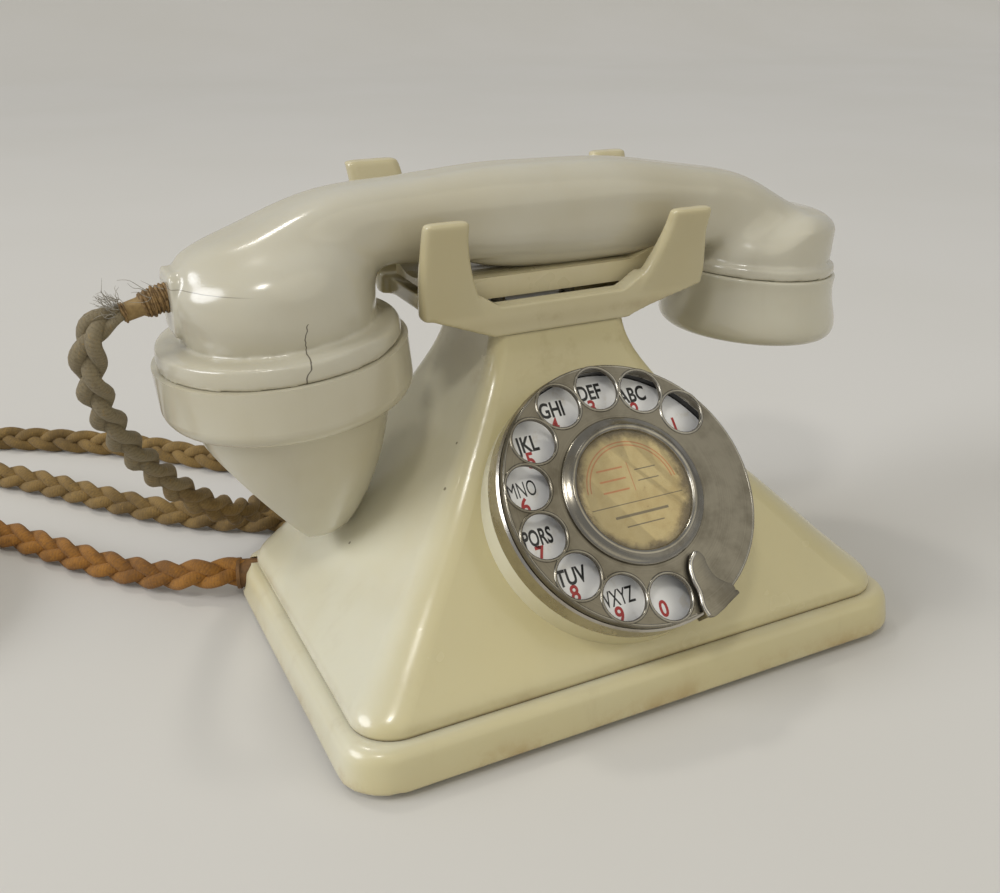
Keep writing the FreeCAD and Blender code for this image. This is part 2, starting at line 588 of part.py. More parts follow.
node("plunger_guides", group("guide_pair", [
    cut(f"guide_{i}", sleeve, bore) for i, (sleeve, bore) in enumerate(zip(
        both_stems("guide_sleeve", "guide_radius", f"{DECK_UNDER} - guide_long", DECK_UNDER),
        both_stems("guide_bore", STEM_HOLE, f"{DECK_UNDER} - guide_long - 1", f"{DECK_UNDER} + 1")))]))

SHELF_TOP = "shelf_z + bracket_thick"
spring_low = number(SHELF_TOP) + val("spring_wire") / 2
spring_high = val("bar_z") - val("spring_wire") / 2
quarters = int(4 * val("spring_turns"))
rise = (spring_high - spring_low) / quarters
spring_samples = []
for i in range(quarters + 1):
    angle = i * math.pi / 2
    spring_samples.append((
        Vec(val("spring_radius") * math.cos(angle),
            number(NECK_MIDDLE) + val("spring_radius") * math.sin(angle),
            spring_low + rise * i),
        unit(Vec(-math.sin(angle), math.cos(angle), rise * 2 / math.pi / val("spring_radius")))))
spring_edges = []
for (start, way_in), (end, way_out) in zip(spring_samples, spring_samples[1:]):
    spring_edges += biarc(start, way_in, end, way_out)
plunger_spring = doc.addObject("Part::Feature", "plunger_coil")
plunger_spring.Shape = pipe_along(spring_edges, val("spring_wire") / 2)
node("plunger_spring", plunger_spring)

# Cradle switch: a bracket under the deck, a lever that follows the plunger and the contact springs
BRACKET_Y = f"({NECK_MIDDLE}) + bracket_y"
LEVER_Y = f"({NECK_MIDDLE}) + lever_y"
EAR_GAP = "lever_half + 1 + fit_gap"


def ear(name, side):
    low, high = f"-lever_x + {side} * ({EAR_GAP})", f"-lever_x + {side} * ({EAR_GAP} + 1.6)"
    across = (low, high) if side > 0 else (high, low)
    return box(name, across, (f"{LEVER_Y} - 2.6", BRACKET_Y), ("lever_z - 3", "lever_z + 3"))


bracket_whole = fuse(
    "bracket_whole",
    box("bracket_back", ("-bracket_half", "bracket_half"), (BRACKET_Y, f"{BRACKET_Y} + bracket_thick"),
        ("shelf_z", DECK_UNDER)),
    box("bracket_shelf", ("-bracket_half", "bracket_half"),
        (f"{NECK_MIDDLE} - 8.5", f"{BRACKET_Y} + bracket_thick"), ("shelf_z", SHELF_TOP)),
    ear("ear_left", -1), ear("ear_right", 1))
node("switch_bracket", cut("bracket_cut", bracket_whole, rod_x(
    "ear_bore", "pin_radius", "-lever_x - 10", "-lever_x + 10", LEVER_Y, "lever_z")))
node("lever_pin", rod_x("lever_pin_rod", "pin_radius", f"-lever_x - ({EAR_GAP} + 1.6)",
                        f"-lever_x + {EAR_GAP} + 1.6", LEVER_Y, "lever_z"))
LEVER_WIDE = ("-lever_x - lever_half", "-lever_x + lever_half")
lever_whole = fuse(
    "lever_whole",
    rod_x("lever_hub", "lever_boss", "-lever_x - lever_half - 1", "-lever_x + lever_half + 1", LEVER_Y,
          "lever_z"),
    box("lever_arm", LEVER_WIDE, (f"{NECK_MIDDLE} - bar_deep", LEVER_Y), ("lever_z - 1", "lever_z + 1")),
    box("lever_finger", LEVER_WIDE,
        (f"{NECK_MIDDLE} - bar_deep / 2 + 1", f"{NECK_MIDDLE} + bar_deep / 2 - 1.5"),
        ("lever_z", "bar_z - 0.35")))
node("switch_lever", cut("lever_cut", lever_whole, rod_x(
    "lever_bore", "pin_radius + run_gap", "-lever_x - 10", "-lever_x + 10", LEVER_Y, "lever_z")))
blades, insulators = [], []
for i in range(3):
    blade_z = f"{SHELF_TOP} + 1 + {i} * blade_step"
    low = SHELF_TOP if i == 0 else f"{SHELF_TOP} + 1 + {i - 1} * blade_step + blade_thick"
    blades.append(box(f"blade_{i}", LEVER_WIDE, (f"{NECK_MIDDLE} - 7.5", BRACKET_Y),
                      (blade_z, f"{blade_z} + blade_thick")))
    insulators.append(box(f"insulator_{i}", ("-lever_x - lever_half - 0.8", "-lever_x + lever_half + 0.8"),
                          (f"{BRACKET_Y} - 7", BRACKET_Y), (low, blade_z)))
node("switch_springs", group("blade_set", blades))
node("switch_insulators", group("insulator_set", insulators))

# Induction coil and terminal strip, fixed on the bottom plate
COIL_Z = f"{PLATE_TOP} + cheek_half"
COIL_X = "coil_inset - base_width / 2"
COIL_ENDS = (f"{COIL_X} - coil_long / 2", f"{COIL_X} + coil_long / 2")
CHEEK_Y = ("coil_y - cheek_half", "coil_y + cheek_half")
CHEEK_Z = (PLATE_TOP, f"{PLATE_TOP} + cheek_half * 2")
coil_bores = [rod_x(f"coil_bore_{i}", "core_radius", f"{COIL_X} - coil_long", f"{COIL_X} + coil_long",
                    "coil_y",
                    COIL_Z)
              for i in range(3)]
cheeks = (box("cheek_left", (f"{COIL_ENDS[0]} - cheek_thick", COIL_ENDS[0]), CHEEK_Y, CHEEK_Z),
          box("cheek_right", (COIL_ENDS[1], f"{COIL_ENDS[1]} + cheek_thick"), CHEEK_Y, CHEEK_Z))
node("coil_cheeks", group("cheek_pair", [cut(f"cheek_{i}", cheek, coil_bores[i]) for i,
                                         cheek in enumerate(cheeks)]))
node("coil_winding", cut("winding_cut", rod_x("winding_rod", "coil_radius", *COIL_ENDS, "coil_y", COIL_Z),
                         coil_bores[2]))
node("coil_core", rod_x("core_rod", "core_radius", f"{COIL_ENDS[0]} - cheek_thick - 3",
                        f"{COIL_ENDS[1]} + cheek_thick + 3", "coil_y", COIL_Z))
STRIP_TOP = f"{PLATE_TOP} + strip_high"
STRIP_X = "base_width / 2 - strip_inset"
node("terminal_strip", box("strip_block", (f"{STRIP_X} - strip_long / 2", f"{STRIP_X} + strip_long / 2"),
                           ("strip_y - strip_wide / 2", "strip_y + strip_wide / 2"),
                           (PLATE_TOP, STRIP_TOP)))
node("terminal_screws", group("terminal_set", [
    rod(f"terminal_{i}", "term_radius", STRIP_TOP, f"{STRIP_TOP} + term_high",
        f"{STRIP_X} + ({i} + 0.5 - term_count / 2) * strip_long / term_count", "strip_y")
    for i in range(int(val("term_count")))]))

# Dial, fixed side: case with its bright rim, number plate, mechanism plate, bridge and contacts
CUP_RADIUS = "dial_bore - cup_gap"
SEAT_UNDER = "-seat_drop - seat_thick"
CUP_END = f"{SEAT_UNDER} - cup_depth + boss_drop"
case_points = (("number_bore", SEAT_UNDER), (f"{CUP_RADIUS} - cup_wall", SEAT_UNDER),
               (f"{CUP_RADIUS} - cup_wall", CUP_END), (CUP_RADIUS, CUP_END), (CUP_RADIUS, "-boss_drop"),
               ("rim_radius", "-boss_drop"), ("rim_radius", "-rim_top - 0.6"),
               ("rim_radius - 0.6", "-rim_top"),
               ("rim_radius - rim_thick", "-rim_top"), ("rim_radius - rim_thick", "-seat_drop"),
               ("number_bore", "-seat_drop"))
node("dial_case", on_dial(turned("dial_case_body", case_points)))
NUMBER_TOP = "number_thick - seat_drop"
node("number_plate", on_dial(cut("number_cut", rod("number_disc", "number_radius", "-seat_drop",
                                                   NUMBER_TOP),
                                 rod("number_eye", "number_bore", "-seat_drop - 1", f"{NUMBER_TOP} + 1"))))
PLATE_LOW = f"{CUP_END} - dialplate_thick"
PINION_REACH = "gear_module * (gear_teeth + pinion_teeth) / 2 + mesh_gap"


def polar(radius, angle):
    """A point on the dial, given by its radius and its angle from +X."""
    return f"({radius}) * cos(({angle}) * 1 deg)", f"({radius}) * sin(({angle}) * 1 deg)"


PINION_AT = polar(PINION_REACH, "pinion_angle")
PIVOT_HOLE = "pivot_radius + run_gap"
SPINDLE_HOLE = "spindle_radius + run_gap"
node("dial_plate", on_dial(cut(
    "dial_plate_cut", rod("dial_plate_disc", CUP_RADIUS, PLATE_LOW, CUP_END),
    rod("dial_plate_eye", "bush_radius", f"{PLATE_LOW} - 1", f"{CUP_END} + 1"),
    rod("dial_plate_pivot", PIVOT_HOLE, f"{PLATE_LOW} - 1", f"{CUP_END} + 1", *PINION_AT))))
node("dial_bush", on_dial(cut("bush_cut", rod("bush_sleeve", "bush_radius", PLATE_LOW,
                                              f"{CUP_END} + bush_long"),
                              rod("bush_bore", SPINDLE_HOLE, f"{PLATE_LOW} - 1",
                                  f"{CUP_END} + bush_long + 1"))))
BRIDGE_LOW = "-bridge_drop - dialplate_thick"
node("dial_bridge", on_dial(cut(
    "bridge_cut", rod("bridge_disc", "bridge_radius", BRIDGE_LOW, "-bridge_drop"),
    rod("bridge_eye", SPINDLE_HOLE, f"{BRIDGE_LOW} - 1", "1 - bridge_drop"),
    rod("bridge_pivot", PIVOT_HOLE, f"{BRIDGE_LOW} - 1", "1 - bridge_drop", *PINION_AT))))
node("dial_pillars", on_dial(group("pillar_set", [
    rod(f"pillar_{i}", "pillar_radius", "-bridge_drop", PLATE_LOW, *polar("pillar_circle", angle))
    for i, angle in enumerate((60, 190, 310))])))
BARREL_TOP = "barrel_deep - bridge_drop"
node("spring_barrel", on_dial(cut(
    "barrel_cut", rod("barrel_wall_rod", "barrel_radius", "-bridge_drop", BARREL_TOP),
    rod("barrel_room", "barrel_radius - barrel_wall", "-bridge_drop - 1", f"{BARREL_TOP} + 1"))))
node("mainspring", on_dial(cut(
    "mainspring_cut", rod("mainspring_pack", "barrel_radius - barrel_wall", "-bridge_drop",
                          f"{BARREL_TOP} - 0.5"),
    rod("mainspring_eye", "spring_bore", "-bridge_drop - 1", f"{BARREL_TOP} + 1"))))
CUP_HIGH = "governor_deep - bridge_drop"
node("governor_cup", on_dial(cut(
    "governor_cut", rod("governor_wall", "governor_radius", "-bridge_drop", CUP_HIGH, *PINION_AT),
    rod("governor_room", "governor_radius - 1", "-bridge_drop - 1", f"{CUP_HIGH} + 1", *PINION_AT))))
STACK_LOW = "-cam_drop - cam_thick - 2"
node("impulse_block", on_dial(box("impulse_stack", ("-5", "5"), ("-30", "-24.6"), (STACK_LOW, PLATE_LOW))))
impulse_blades = [box(f"impulse_blade_{i}", ("-3", "3"), ("-24.6", "-cam_radius - 1.2"),
                      (f"{STACK_LOW} + {i} * 1.4",
                       f"{STACK_LOW} + {i} * 1.4 + blade_thick")) for i in range(2)]
node("impulse_springs", on_dial(group("impulse_pair", impulse_blades)))
STOP_LOW, STOP_TOP = "stop_gap", "stop_gap + stop_thick"
STOP_EDGE = "rim_radius + 0.05"
stop_whole = fuse(
    "stop_whole",
    box("stop_leaf", ("stop_reach", f"{STOP_EDGE} + stop_thick"), ("-stop_wide / 2", "stop_wide / 2"),
        (STOP_LOW, STOP_TOP)),
    box("stop_leg", (STOP_EDGE, f"{STOP_EDGE} + stop_thick"), ("-stop_wide / 2", "stop_wide / 2"),
        ("-boss_drop", STOP_TOP)))
turn(stop_whole, Z_AXIS, "stop_angle")
node("finger_stop", on_dial(fuse("stop_set", stop_whole, rod("stop_nose", "stop_wide / 2", STOP_LOW,
                                                             STOP_TOP, *polar(
    "stop_reach", "stop_angle")))))

# Dial, turning side: finger wheel, centre label, spindle, gear and cam
finger_holes = [rod(f"finger_hole_{i}", "hole_radius", "-rim_drop - 1", "1",
                    *polar("hole_circle", f"hole_first + {i} * hole_step")) for i in range(10)]
wheel_points = ((SPINDLE_HOLE, "-wheel_thick"), ("wheel_radius - rim_wall", "-wheel_thick"),
                ("wheel_radius - rim_wall", "-rim_drop"), ("wheel_radius", "-rim_drop"),
                ("wheel_radius", "-wheel_thick"), ("wheel_radius - 0.6", "0"), (SPINDLE_HOLE, "0"))
node("finger_wheel", on_dial(cut("wheel_cut", turned("wheel_body", wheel_points), *finger_holes)))
node("label_card", on_dial(rod("card_disc", "card_radius", "0", "card_thick")))
WINDOW_TOP = "card_thick + window_thick"
node("label_window", on_dial(rod("window_disc", "card_radius", "card_thick", WINDOW_TOP)))
ring_points = (("card_radius", "0"), ("ring_radius", "0"), ("ring_radius", "ring_high - 1"),
               ("ring_radius - 1", "ring_high"), ("card_radius - ring_lip", "ring_high"),
               ("card_radius - ring_lip", WINDOW_TOP), ("card_radius", WINDOW_TOP))
node("label_ring", on_dial(turned("label_ring_body", ring_points)))
node("dial_spindle", on_dial(rod("spindle_rod", "spindle_radius", BRIDGE_LOW, "0")))


def toothed(teeth, module, low, thick, bore, tooth_share, phase):
    """A spur gear with straight-flanked teeth, made from its tooth count and module."""
    pitch = 2 * math.pi / teeth
    middle = module * teeth / 2
    corners = []
    for i in range(teeth):
        centre = phase + i * pitch
        for radius, offset in ((middle - 1.25 * module, -0.31), (middle + 0.85 * module, -tooth_share),
                               (middle + 0.85 * module, tooth_share), (middle - 1.25 * module, 0.31)):
            angle = centre + offset * pitch
            corners.append(Vec(radius * math.cos(angle), radius * math.sin(angle), low))
    blank = Part.Face(Part.makePolygon(corners + corners[:1])).extrude(Vec(0, 0, thick))
    return blank.cut(Part.makeCylinder(bore, thick + 2, Vec(0, 0, low - 1)))


gear_teeth, pinion_teeth = int(val("gear_teeth")), int(val("pinion_teeth"))
pinion_way = math.radians(val("pinion_angle"))
gear_low = -val("gear_drop") - val("gear_thick")
pinion_low = gear_low - (val("pinion_thick") - val("gear_thick")) / 2
gear_shape = toothed(gear_teeth, val("gear_module"), gear_low, val("gear_thick"), number(SPINDLE_HOLE), 0.1,
                     pinion_way)
pinion_shape = toothed(pinion_teeth, val("gear_module"), pinion_low, val("pinion_thick"),
                       val("pivot_radius"), 0.08,
                       pinion_way + math.pi + math.pi / pinion_teeth)


def gear_feature(name, shape):
    feature = doc.addObject("Part::Feature", name)
    feature.Shape = shape
    return feature


node("main_gear", on_dial(gear_feature("main_gear_teeth", gear_shape)))
cam_flat = box("cam_flat", ("-cam_radius", "cam_radius"), ("cam_radius * 0.75", "cam_radius + 1"),
               ("-cam_drop - cam_thick - 1", "1 - cam_drop"))
node("impulse_cam", on_dial(cut("cam_cut", rod("cam_disc", "cam_radius", "-cam_drop - cam_thick",
                                               "-cam_drop"),
                                rod("cam_eye", SPINDLE_HOLE, "-cam_drop - cam_thick - 1", "1 - cam_drop"),
                                cam_flat)))

# Speed governor: a pinion that the main gear drives, with weights that rub in a fixed cup
pinion_gear = place(gear_feature("pinion_gear", pinion_shape), *PINION_AT, 0)
pinion_rod = rod("pinion_rod", "pivot_radius", BRIDGE_LOW, CUP_END, *PINION_AT)
node("pinion_shaft", on_dial(fuse("pinion_whole", pinion_gear, pinion_rod)))
ARM_LEVEL = ("1.2 - bridge_drop", "governor_deep - bridge_drop - 1.5")
governor_arm = cut("governor_arm", box("governor_cross", ("0.25 - weight_swing * 0.8",
                                                          "weight_swing * 0.8 - 0.25"),
                                       ("-1.6", "1.6"), ARM_LEVEL),
                   rod("governor_eye", PIVOT_HOLE, "-bridge_drop", CUP_HIGH))
node("governor_arm", on_dial_at(governor_arm, PINION_AT))
weight_ring = cut("weight_ring", rod("weight_rim", "weight_swing", *ARM_LEVEL),
                  rod("weight_room", "weight_swing * 0.8", "-bridge_drop", CUP_HIGH),
                  box("weight_split", ("-weight_swing * 0.6", "weight_swing * 0.6"),
                      ("-weight_swing * 1.1", "weight_swing * 1.1"), ("-bridge_drop", CUP_HIGH)))
node("governor_weights", on_dial_at(weight_ring, PINION_AT))


# Handset: handle with two bells, mouthpiece, ear cap and the capsules inside
def at_mouth(thing):
    """Stands a piece, made along Z from the mouthpiece seam, on the mouthpiece's leaning axis."""
    moved = place(free(thing), "mouth_x", "hand_y", "mouth_z")
    return turn(moved, Y_AXIS, "-hand_tilt")


def at_ear(thing):
    """Stands a piece, made along Z from the ear-cap seam, on the ear cap's leaning axis."""
    moved = place(free(thing), "ear_x", "hand_y", "ear_z")
    return turn(moved, Y_AXIS, "hand_tilt")


# Handle sections: place along X, rise of the middle, half height and half width beside the grip's own
HANDLE = (("mouth_x - 25", "-12.6", "handle_half - 5.4", "handle_wide - 3.8"),
          ("mouth_x - 12", "-8.6", "handle_half - 3.9", "handle_wide + 1.2"),
          ("mouth_x + 1", "-4.6", "handle_half - 3.1", "handle_wide + 2.2"),
          ("mouth_x + 14", "-0.1", "handle_half - 3.4", "handle_wide + 0.6"),
          ("mouth_x + 40", "1", "handle_half - 2.5", "handle_wide - 0.8"),
          ("-15", "0.4", "handle_half - 0.3", "handle_wide"),
          ("0", "0", "handle_half", "handle_wide"),
          ("30", "-0.7", "handle_half - 0.7", "handle_wide - 0.3"),
          ("ear_x - 25", "-3.4", "handle_half - 2.5", "handle_wide - 0.5"),
          ("ear_x - 13", "-5.4", "handle_half - 2.5", "handle_wide + 0.2"),
          ("ear_x - 5", "-8.8", "handle_half - 2.4", "handle_wide + 1"),
          ("ear_x + 9", "-14.6", "handle_half - 4.9", "handle_wide + 0.4"),
          ("ear_x + 19", "-17.4", "handle_half - 6.9", "handle_wide - 4.8"))
handle_body = new_body("handle_loft_body")
loft(handle_body, "handle_loft", [
    rounded(handle_body, f"handle_{i}", "YZ_Plane", where, (f"hand_y - ({wide})", f"hand_y + {wide}"),
            (f"handle_z + ({rise}) - ({tall})", f"handle_z + ({rise}) + {tall}"), f"({tall}) * 0.82")
    for i, (where, rise, tall, wide) in enumerate(HANDLE)])


def bell(name, radius, height, sections):
    """A bell that rises from the seam and leans over towards the handle as it closes."""
    body = new_body(name)
    rings = []
    for i, (rise, less, shift) in enumerate(sections):
        rings.append(disc_sketch(body, f"{name}_{i}", f"{height} * {rise}", f"{radius} - {less}", shift))
    loft(body, f"{name}_loft", rings)
    return body


MOUTH_BELL = ((0, 0, "0"), (0.45, 0.3, "0"), (0.675, 1.3, "0.4"), (0.78, 3.8, "1.6"), (0.885, 8.6, "4"),
              (0.96, 15.6, "7"), (1, 23.6, "9.5"))
EAR_BELL = ((0, 0, "0"), (0.43, 0.2, "0"), (0.62, 1, "0"), (0.757, 3.5, "-1"), (0.89, 8, "-3"),
            (1, 14, "-6"))
mouth_bell = at_mouth(bell("mouth_bell", "bell_radius", "bell_high", MOUTH_BELL))
mouth_lip = at_mouth(domed("mouth_lip", "lip_radius", "lip_high", "lip_round"))
ear_bell = at_ear(bell("ear_bell_form", "ear_bell", "ear_high", EAR_BELL))
ear_lip = at_ear(domed("ear_lip_form", "ear_lip", "ear_lip_high", "ear_lip_round"))
inset_room = at_mouth(rod("inset_room", "inset_radius + fit_gap", "-1", "inset_high + fit_gap"))
receiver_room = at_ear(rod("receiver_room", "receiver_radius + fit_gap", "-1", "receiver_high + fit_gap"))
CORD_END = "mouth_x - bell_radius - pad_out"
pad_body = new_body("cord_pad")
pad_sketch = rounded(pad_body, "cord_pad_outline", "YZ_Plane", CORD_END,
                     ("hand_y - pad_half", "hand_y + pad_half"),
                     ("cord_z - pad_high / 2", "cord_z + pad_high / 2 - 2"), "pad_half / 2")
cord_pad = pad_body.newObject("PartDesign::Pad", "cord_pad_block")
cord_pad.Profile = pad_sketch
bind(cord_pad, Length="pad_half")


def whip_rod(name, radius, inside, outside):
    """A rod along the drooping cord outlet, from inside the bell's wall to outside it."""
    solid = doc.addObject("Part::Cylinder", name)
    bind(solid, Radius=radius, Height=f"({inside}) + ({outside})")
    place(solid, f"{CORD_END} + ({inside}) * cos(whip_droop * 1 deg)", "hand_y",
          f"cord_z + ({inside}) * sin(whip_droop * 1 deg)")
    return turn(solid, Y_AXIS, "-90 - whip_droop")


cord_hole = whip_rod("cord_hole", "whip_radius + run_gap", "whip_seat + 2", "6")
node("handset_handle", cut("handle_cut", fuse("handle_whole", handle_body, mouth_bell, mouth_lip, ear_bell,
                                              ear_lip, pad_body),
                           inset_room, receiver_room, cord_hole))
WHIP_FREE = "whip_long - whip_seat"
node("cord_whipping", cut("whip_cut", whip_rod("whip_sleeve", "whip_radius", "whip_seat", WHIP_FREE),
                          whip_rod("whip_bore", "cord_size / 2", "whip_seat + 1", f"{WHIP_FREE} + 1")))

ring_form = domed("mouth_ring", "cap_radius", "cap_high", "cap_round", at_top=False)
place(ring_form, 0, 0, "-cap_high")


BEAK = ((0, 1, "0"), (0.35, 0.83, "beak_shift * 0.35"), (0.685, 0.62, "beak_shift * 0.65"),
        (0.88, 0.44, "beak_shift * 0.88"), (0.97, 0.31, "beak_shift"), (1, 0.19, "beak_shift"))


def beak_cone(name, inset):
    """The mouthpiece horn's round, narrowing form."""
    body = new_body(name)
    sections = []
    for i, (drop, share, shift) in enumerate(BEAK):
        height = f"3 * (1 - {drop}) - cap_high - (beak_drop - ({inset}) * 1.2) * {drop}"
        sections.append(disc_sketch(body, f"{name}_{i}", height, f"(beak_top - ({inset})) * {share}",
                                    shift))
    loft(body, f"{name}_loft", sections)
    return body


beak_knife = doc.addObject("Part::Box", "beak_knife")
bind(beak_knife, Length="beak_drop * 4", Width="cap_radius * 2", Height="beak_drop * 2")
place(beak_knife, "beak_drop * cos(beak_slope * 1 deg) - beak_rim", "-cap_radius",
      "1 - cap_high - beak_drop - beak_drop * sin(beak_slope * 1 deg)")
turn(beak_knife, Y_AXIS, "beak_slope - 180")
beak_open = cut("beak_open", beak_cone("beak_outer", "0"), beak_knife)
node("mouthpiece", at_mouth(cut("mouthpiece_cut", fuse("mouthpiece_whole", ring_form, beak_open),
                                beak_cone("beak_inner", "beak_wall"),
                                rod("ring_bore", "cap_bore", "3 - cap_high", "1"))))
node("transmitter_inset", at_mouth(rod("inset_disc", "inset_radius", "0.2", "inset_high")))

cap_points = (("ear_hole", "ear_dish - ear_cap_high"), ("ear_radius - 3", "-ear_cap_high"),
              ("ear_radius - 0.8", "0.8 - ear_cap_high"), ("ear_radius", "3 - ear_cap_high"),
              ("ear_radius - 0.7", "-ear_cap_high / 2"), ("ear_radius", "0"), ("receiver_radius", "0"),
              ("receiver_radius", "ear_dish + ear_wall - ear_cap_high"),
              ("ear_hole", "ear_dish + ear_wall - ear_cap_high"))
node("ear_cap", at_ear(turned("ear_cap_body", cap_points)))
node("receiver_capsule", at_ear(rod("capsule_rod", "receiver_radius", "0.5 + diaphragm_thick",
                                    "receiver_high")))
node("receiver_diaphragm", at_ear(rod("diaphragm_disc", "receiver_radius", "0.5", "0.5 + diaphragm_thick")))

# Cords: plaited cotton. Routes are straight runs with an arc at each point.
HAND_ROUTE_DROP = ((-125.6, 19, 110.5), (-129.8, 19.3, 105.9), (-131.2, 20.5, 97.6), (-130, 24.4, 87.5),
                   (-126.4, 31, 75.5), (-120.7, 38.8, 63.5), (-113.2, 46.6, 51.5))
HAND_ROUTE_LAY = ((-104.2, 54.6, 39.5), (-93, 63, 28), (-82, 73.5, 19.3), (-73, 85.5, 16.2),
                  (-64.5, 97.5, 14.8), (-57.6, 108.5, 11.2), (-54, 119.5, 7.4), (-54.2, 131, 5),
                  (-59.5, 141.5, 4.6), (-70, 150.5, 4.6), (-83, 163, 4.6), (-98, 180.5, 4.6),
                  (-117, 196, 4.6), (-137, 209.8, 4.6), (-157, 222.2, 4.6), (-177, 236.3, 4.6),
                  (-189.3, 243.7, 4.6), (-204.1, 245, 4.6), (-217.7, 239.2, 4.6), (-226.9, 227.6, 4.6),
                  (-229.5, 213, 4.6), (-224.8, 198.9, 4.6), (-214.1, 188.8, 4.6), (-201.5, 185.6, 4.6),
                  (-187, 187, 4.6), (-173.5, 188.8, 4.6), (-161, 184, 4.6), (-150, 173, 4.6),
                  (-138.5, 159, 4.6), (-123, 139, 4.6), (-106.5, 119.5, 4.6), (-91, 105.8, 4.6),
                  (-75.5, 95.5, 4.6), (-60, 88.5, 4.6), (-47.5, 85.3, 5.4))
LINE_ROUTE = ((-113.5, 67, 5.8), (-124, 79, 4.6), (-134.5, 91.5, 4.6), (-144.5, 105.5, 4.6),
              (-155, 120.5, 4.6), (-168, 135.5, 4.6))


def route_edges(points, name):
    """Straight runs joined by tangent arcs as large as the runs allow."""
    edges, radii, start = [], [], points[0]
    for before, corner, after in zip(points, points[1:], points[2:]):
        back, ahead = unit(before - corner), unit(after - corner)
        turned_by = math.pi - back.getAngle(ahead)
        trim = 0.45 * min((before - corner).Length, (after - corner).Length)
        radii.append(trim / math.tan(turned_by / 2))
        arc_in, arc_out = corner + back * trim, corner + ahead * trim
        middle = unit(back + ahead) * (trim / math.cos(turned_by / 2) * (1 - math.sin(turned_by / 2)))
        depth = radii[-1] / math.cos(turned_by / 2) - radii[-1]
        via = corner + unit(back + ahead) * depth
        edges += [Part.LineSegment(start, arc_in).toShape(), Part.Arc(arc_in, via, arc_out).toShape()]
        start = arc_out
    edges.append(Part.LineSegment(start, points[-1]).toShape())
    print(f"{name}: tightest radius {min(radii):.1f} mm of", " ".join(f"{radius:.0f}" for radius in radii))
    return edges


def cord_tube(name, edges):
    """A round tube along a path, tested against its section times its length."""
    path = Part.Wire(edges)
    feature = doc.addObject("Part::Feature", f"{name}_tube")
    feature.Shape = pipe_along(edges, val("cord_size") / 2)
    expected = math.pi * val("cord_size") ** 2 / 4 * path.Length
    share = feature.Shape.Volume / expected
    print(f"{name}: length {path.Length:.0f} mm, volume {share:.4f} of section x length")
    return node(name, feature)


droop = math.radians(val("whip_droop"))
whip_way = Vec(-math.cos(droop), 0, -math.sin(droop))
hand_start = Vec(number(CORD_END), val("hand_y"),
                 val("cord_z")) + whip_way * (val("whip_long") - val("whip_seat"))
hand_points = [hand_start] + [Vec(*point) for point in HAND_ROUTE_DROP + HAND_ROUTE_LAY]
rear_out = val("base_depth") / 2 + val("flange_thick")
hand_points += [Vec(val("handcord_x") - 3, rear_out + 15.4, val("inlet_z") - 0.9),
                Vec(val("handcord_x"), rear_out + 8.4, val("inlet_z")),
                Vec(val("handcord_x"), rear_out, val("inlet_z"))]
hand_edges = route_edges(hand_points, "handset_cord")
DROP_EDGES = 2 * len(HAND_ROUTE_DROP)
drop_edges, lay_edges = hand_edges[:DROP_EDGES], hand_edges[DROP_EDGES:]
cord_tube("handset_cord_drop", drop_edges)
cord_tube("handset_cord_lay", lay_edges)


# The line cord's spare length lies in a neat coil of two layers
def coil_samples():
    """Points and directions each quarter turn: in on the floor, up a layer, and out again."""
    step, layers_apart = val("coil_step"), val("cord_size") + 1.1
    turns_each = 2
    samples = []
    quarters = turns_each * 4
    outer = val("ring_size") / 2 + step * turns_each / 2
    for i in range(2 * quarters + 1):
        inward = min(i, quarters)
        outward = max(0, i - quarters - 2)
        radius = outer - step / 4 * inward + step / 4 * outward
        climb = min(max(i - quarters, 0), 2) / 2
        angle = math.radians(62 + 90 * i)
        point = Vec(val("ring_x") + radius * math.cos(angle), val("ring_y") + radius * math.sin(angle),
                    val("cord_size") / 2 + 0.3 + layers_apart * climb)
        sign = -1 if i < quarters else 1 if i >= quarters + 2 else 0
        spread = sign * step / (2 * math.pi)
        lift = layers_apart / (math.pi * radius) if i == quarters + 1 else 0
        way = Vec(spread * math.cos(angle) - radius * math.sin(angle),
                  spread * math.sin(angle) + radius * math.cos(angle), lift * radius)
        samples.append((point, unit(way)))
    return samples


samples = coil_samples()
coil_edges = []
for (start, way_in), (end, way_out) in zip(samples, samples[1:]):
    coil_edges += biarc(start, way_in, end, way_out)
coil_first, coil_last = samples[0], samples[-1]
lead = val("cord_size")
coil_edges.insert(0, Part.LineSegment(coil_first[0] - coil_first[1] * lead, coil_first[0]).toShape())
coil_edges.append(Part.LineSegment(coil_last[0], coil_last[0] + coil_last[1] * lead).toShape())

angle = math.radians(val("line_angle"))
line_way = Vec(math.cos(angle), math.sin(angle), 0)
line_start = Vec(number(ARC_X), number(ARC_Y), val("inlet_z")) + line_way * (
    number(LINE_OUT) + val("flange_thick"))
line_points = [line_start, line_start + line_way * 11] + [Vec(*point) for point in LINE_ROUTE]
line_points.append(coil_first[0] - coil_first[1] * lead)
cord_tube("line_cord_run", route_edges(line_points, "line_cord"))
cord_tube("line_cord_coil", coil_edges)
coil_points = [p for edge in coil_edges for p in edge.discretize(24)[:-1]]
run = [0.0]
for first, second in zip(coil_points, coil_points[1:]):
    run.append(run[-1] + (second - first).Length)
gap = min((a - b).Length for i, a in enumerate(coil_points) for j, b in enumerate(coil_points)
          if run[j] - run[i] > 6 * val("cord_size")) - val("cord_size")
print(f"line_cord_coil: least gap to itself {gap:.2f} mm")

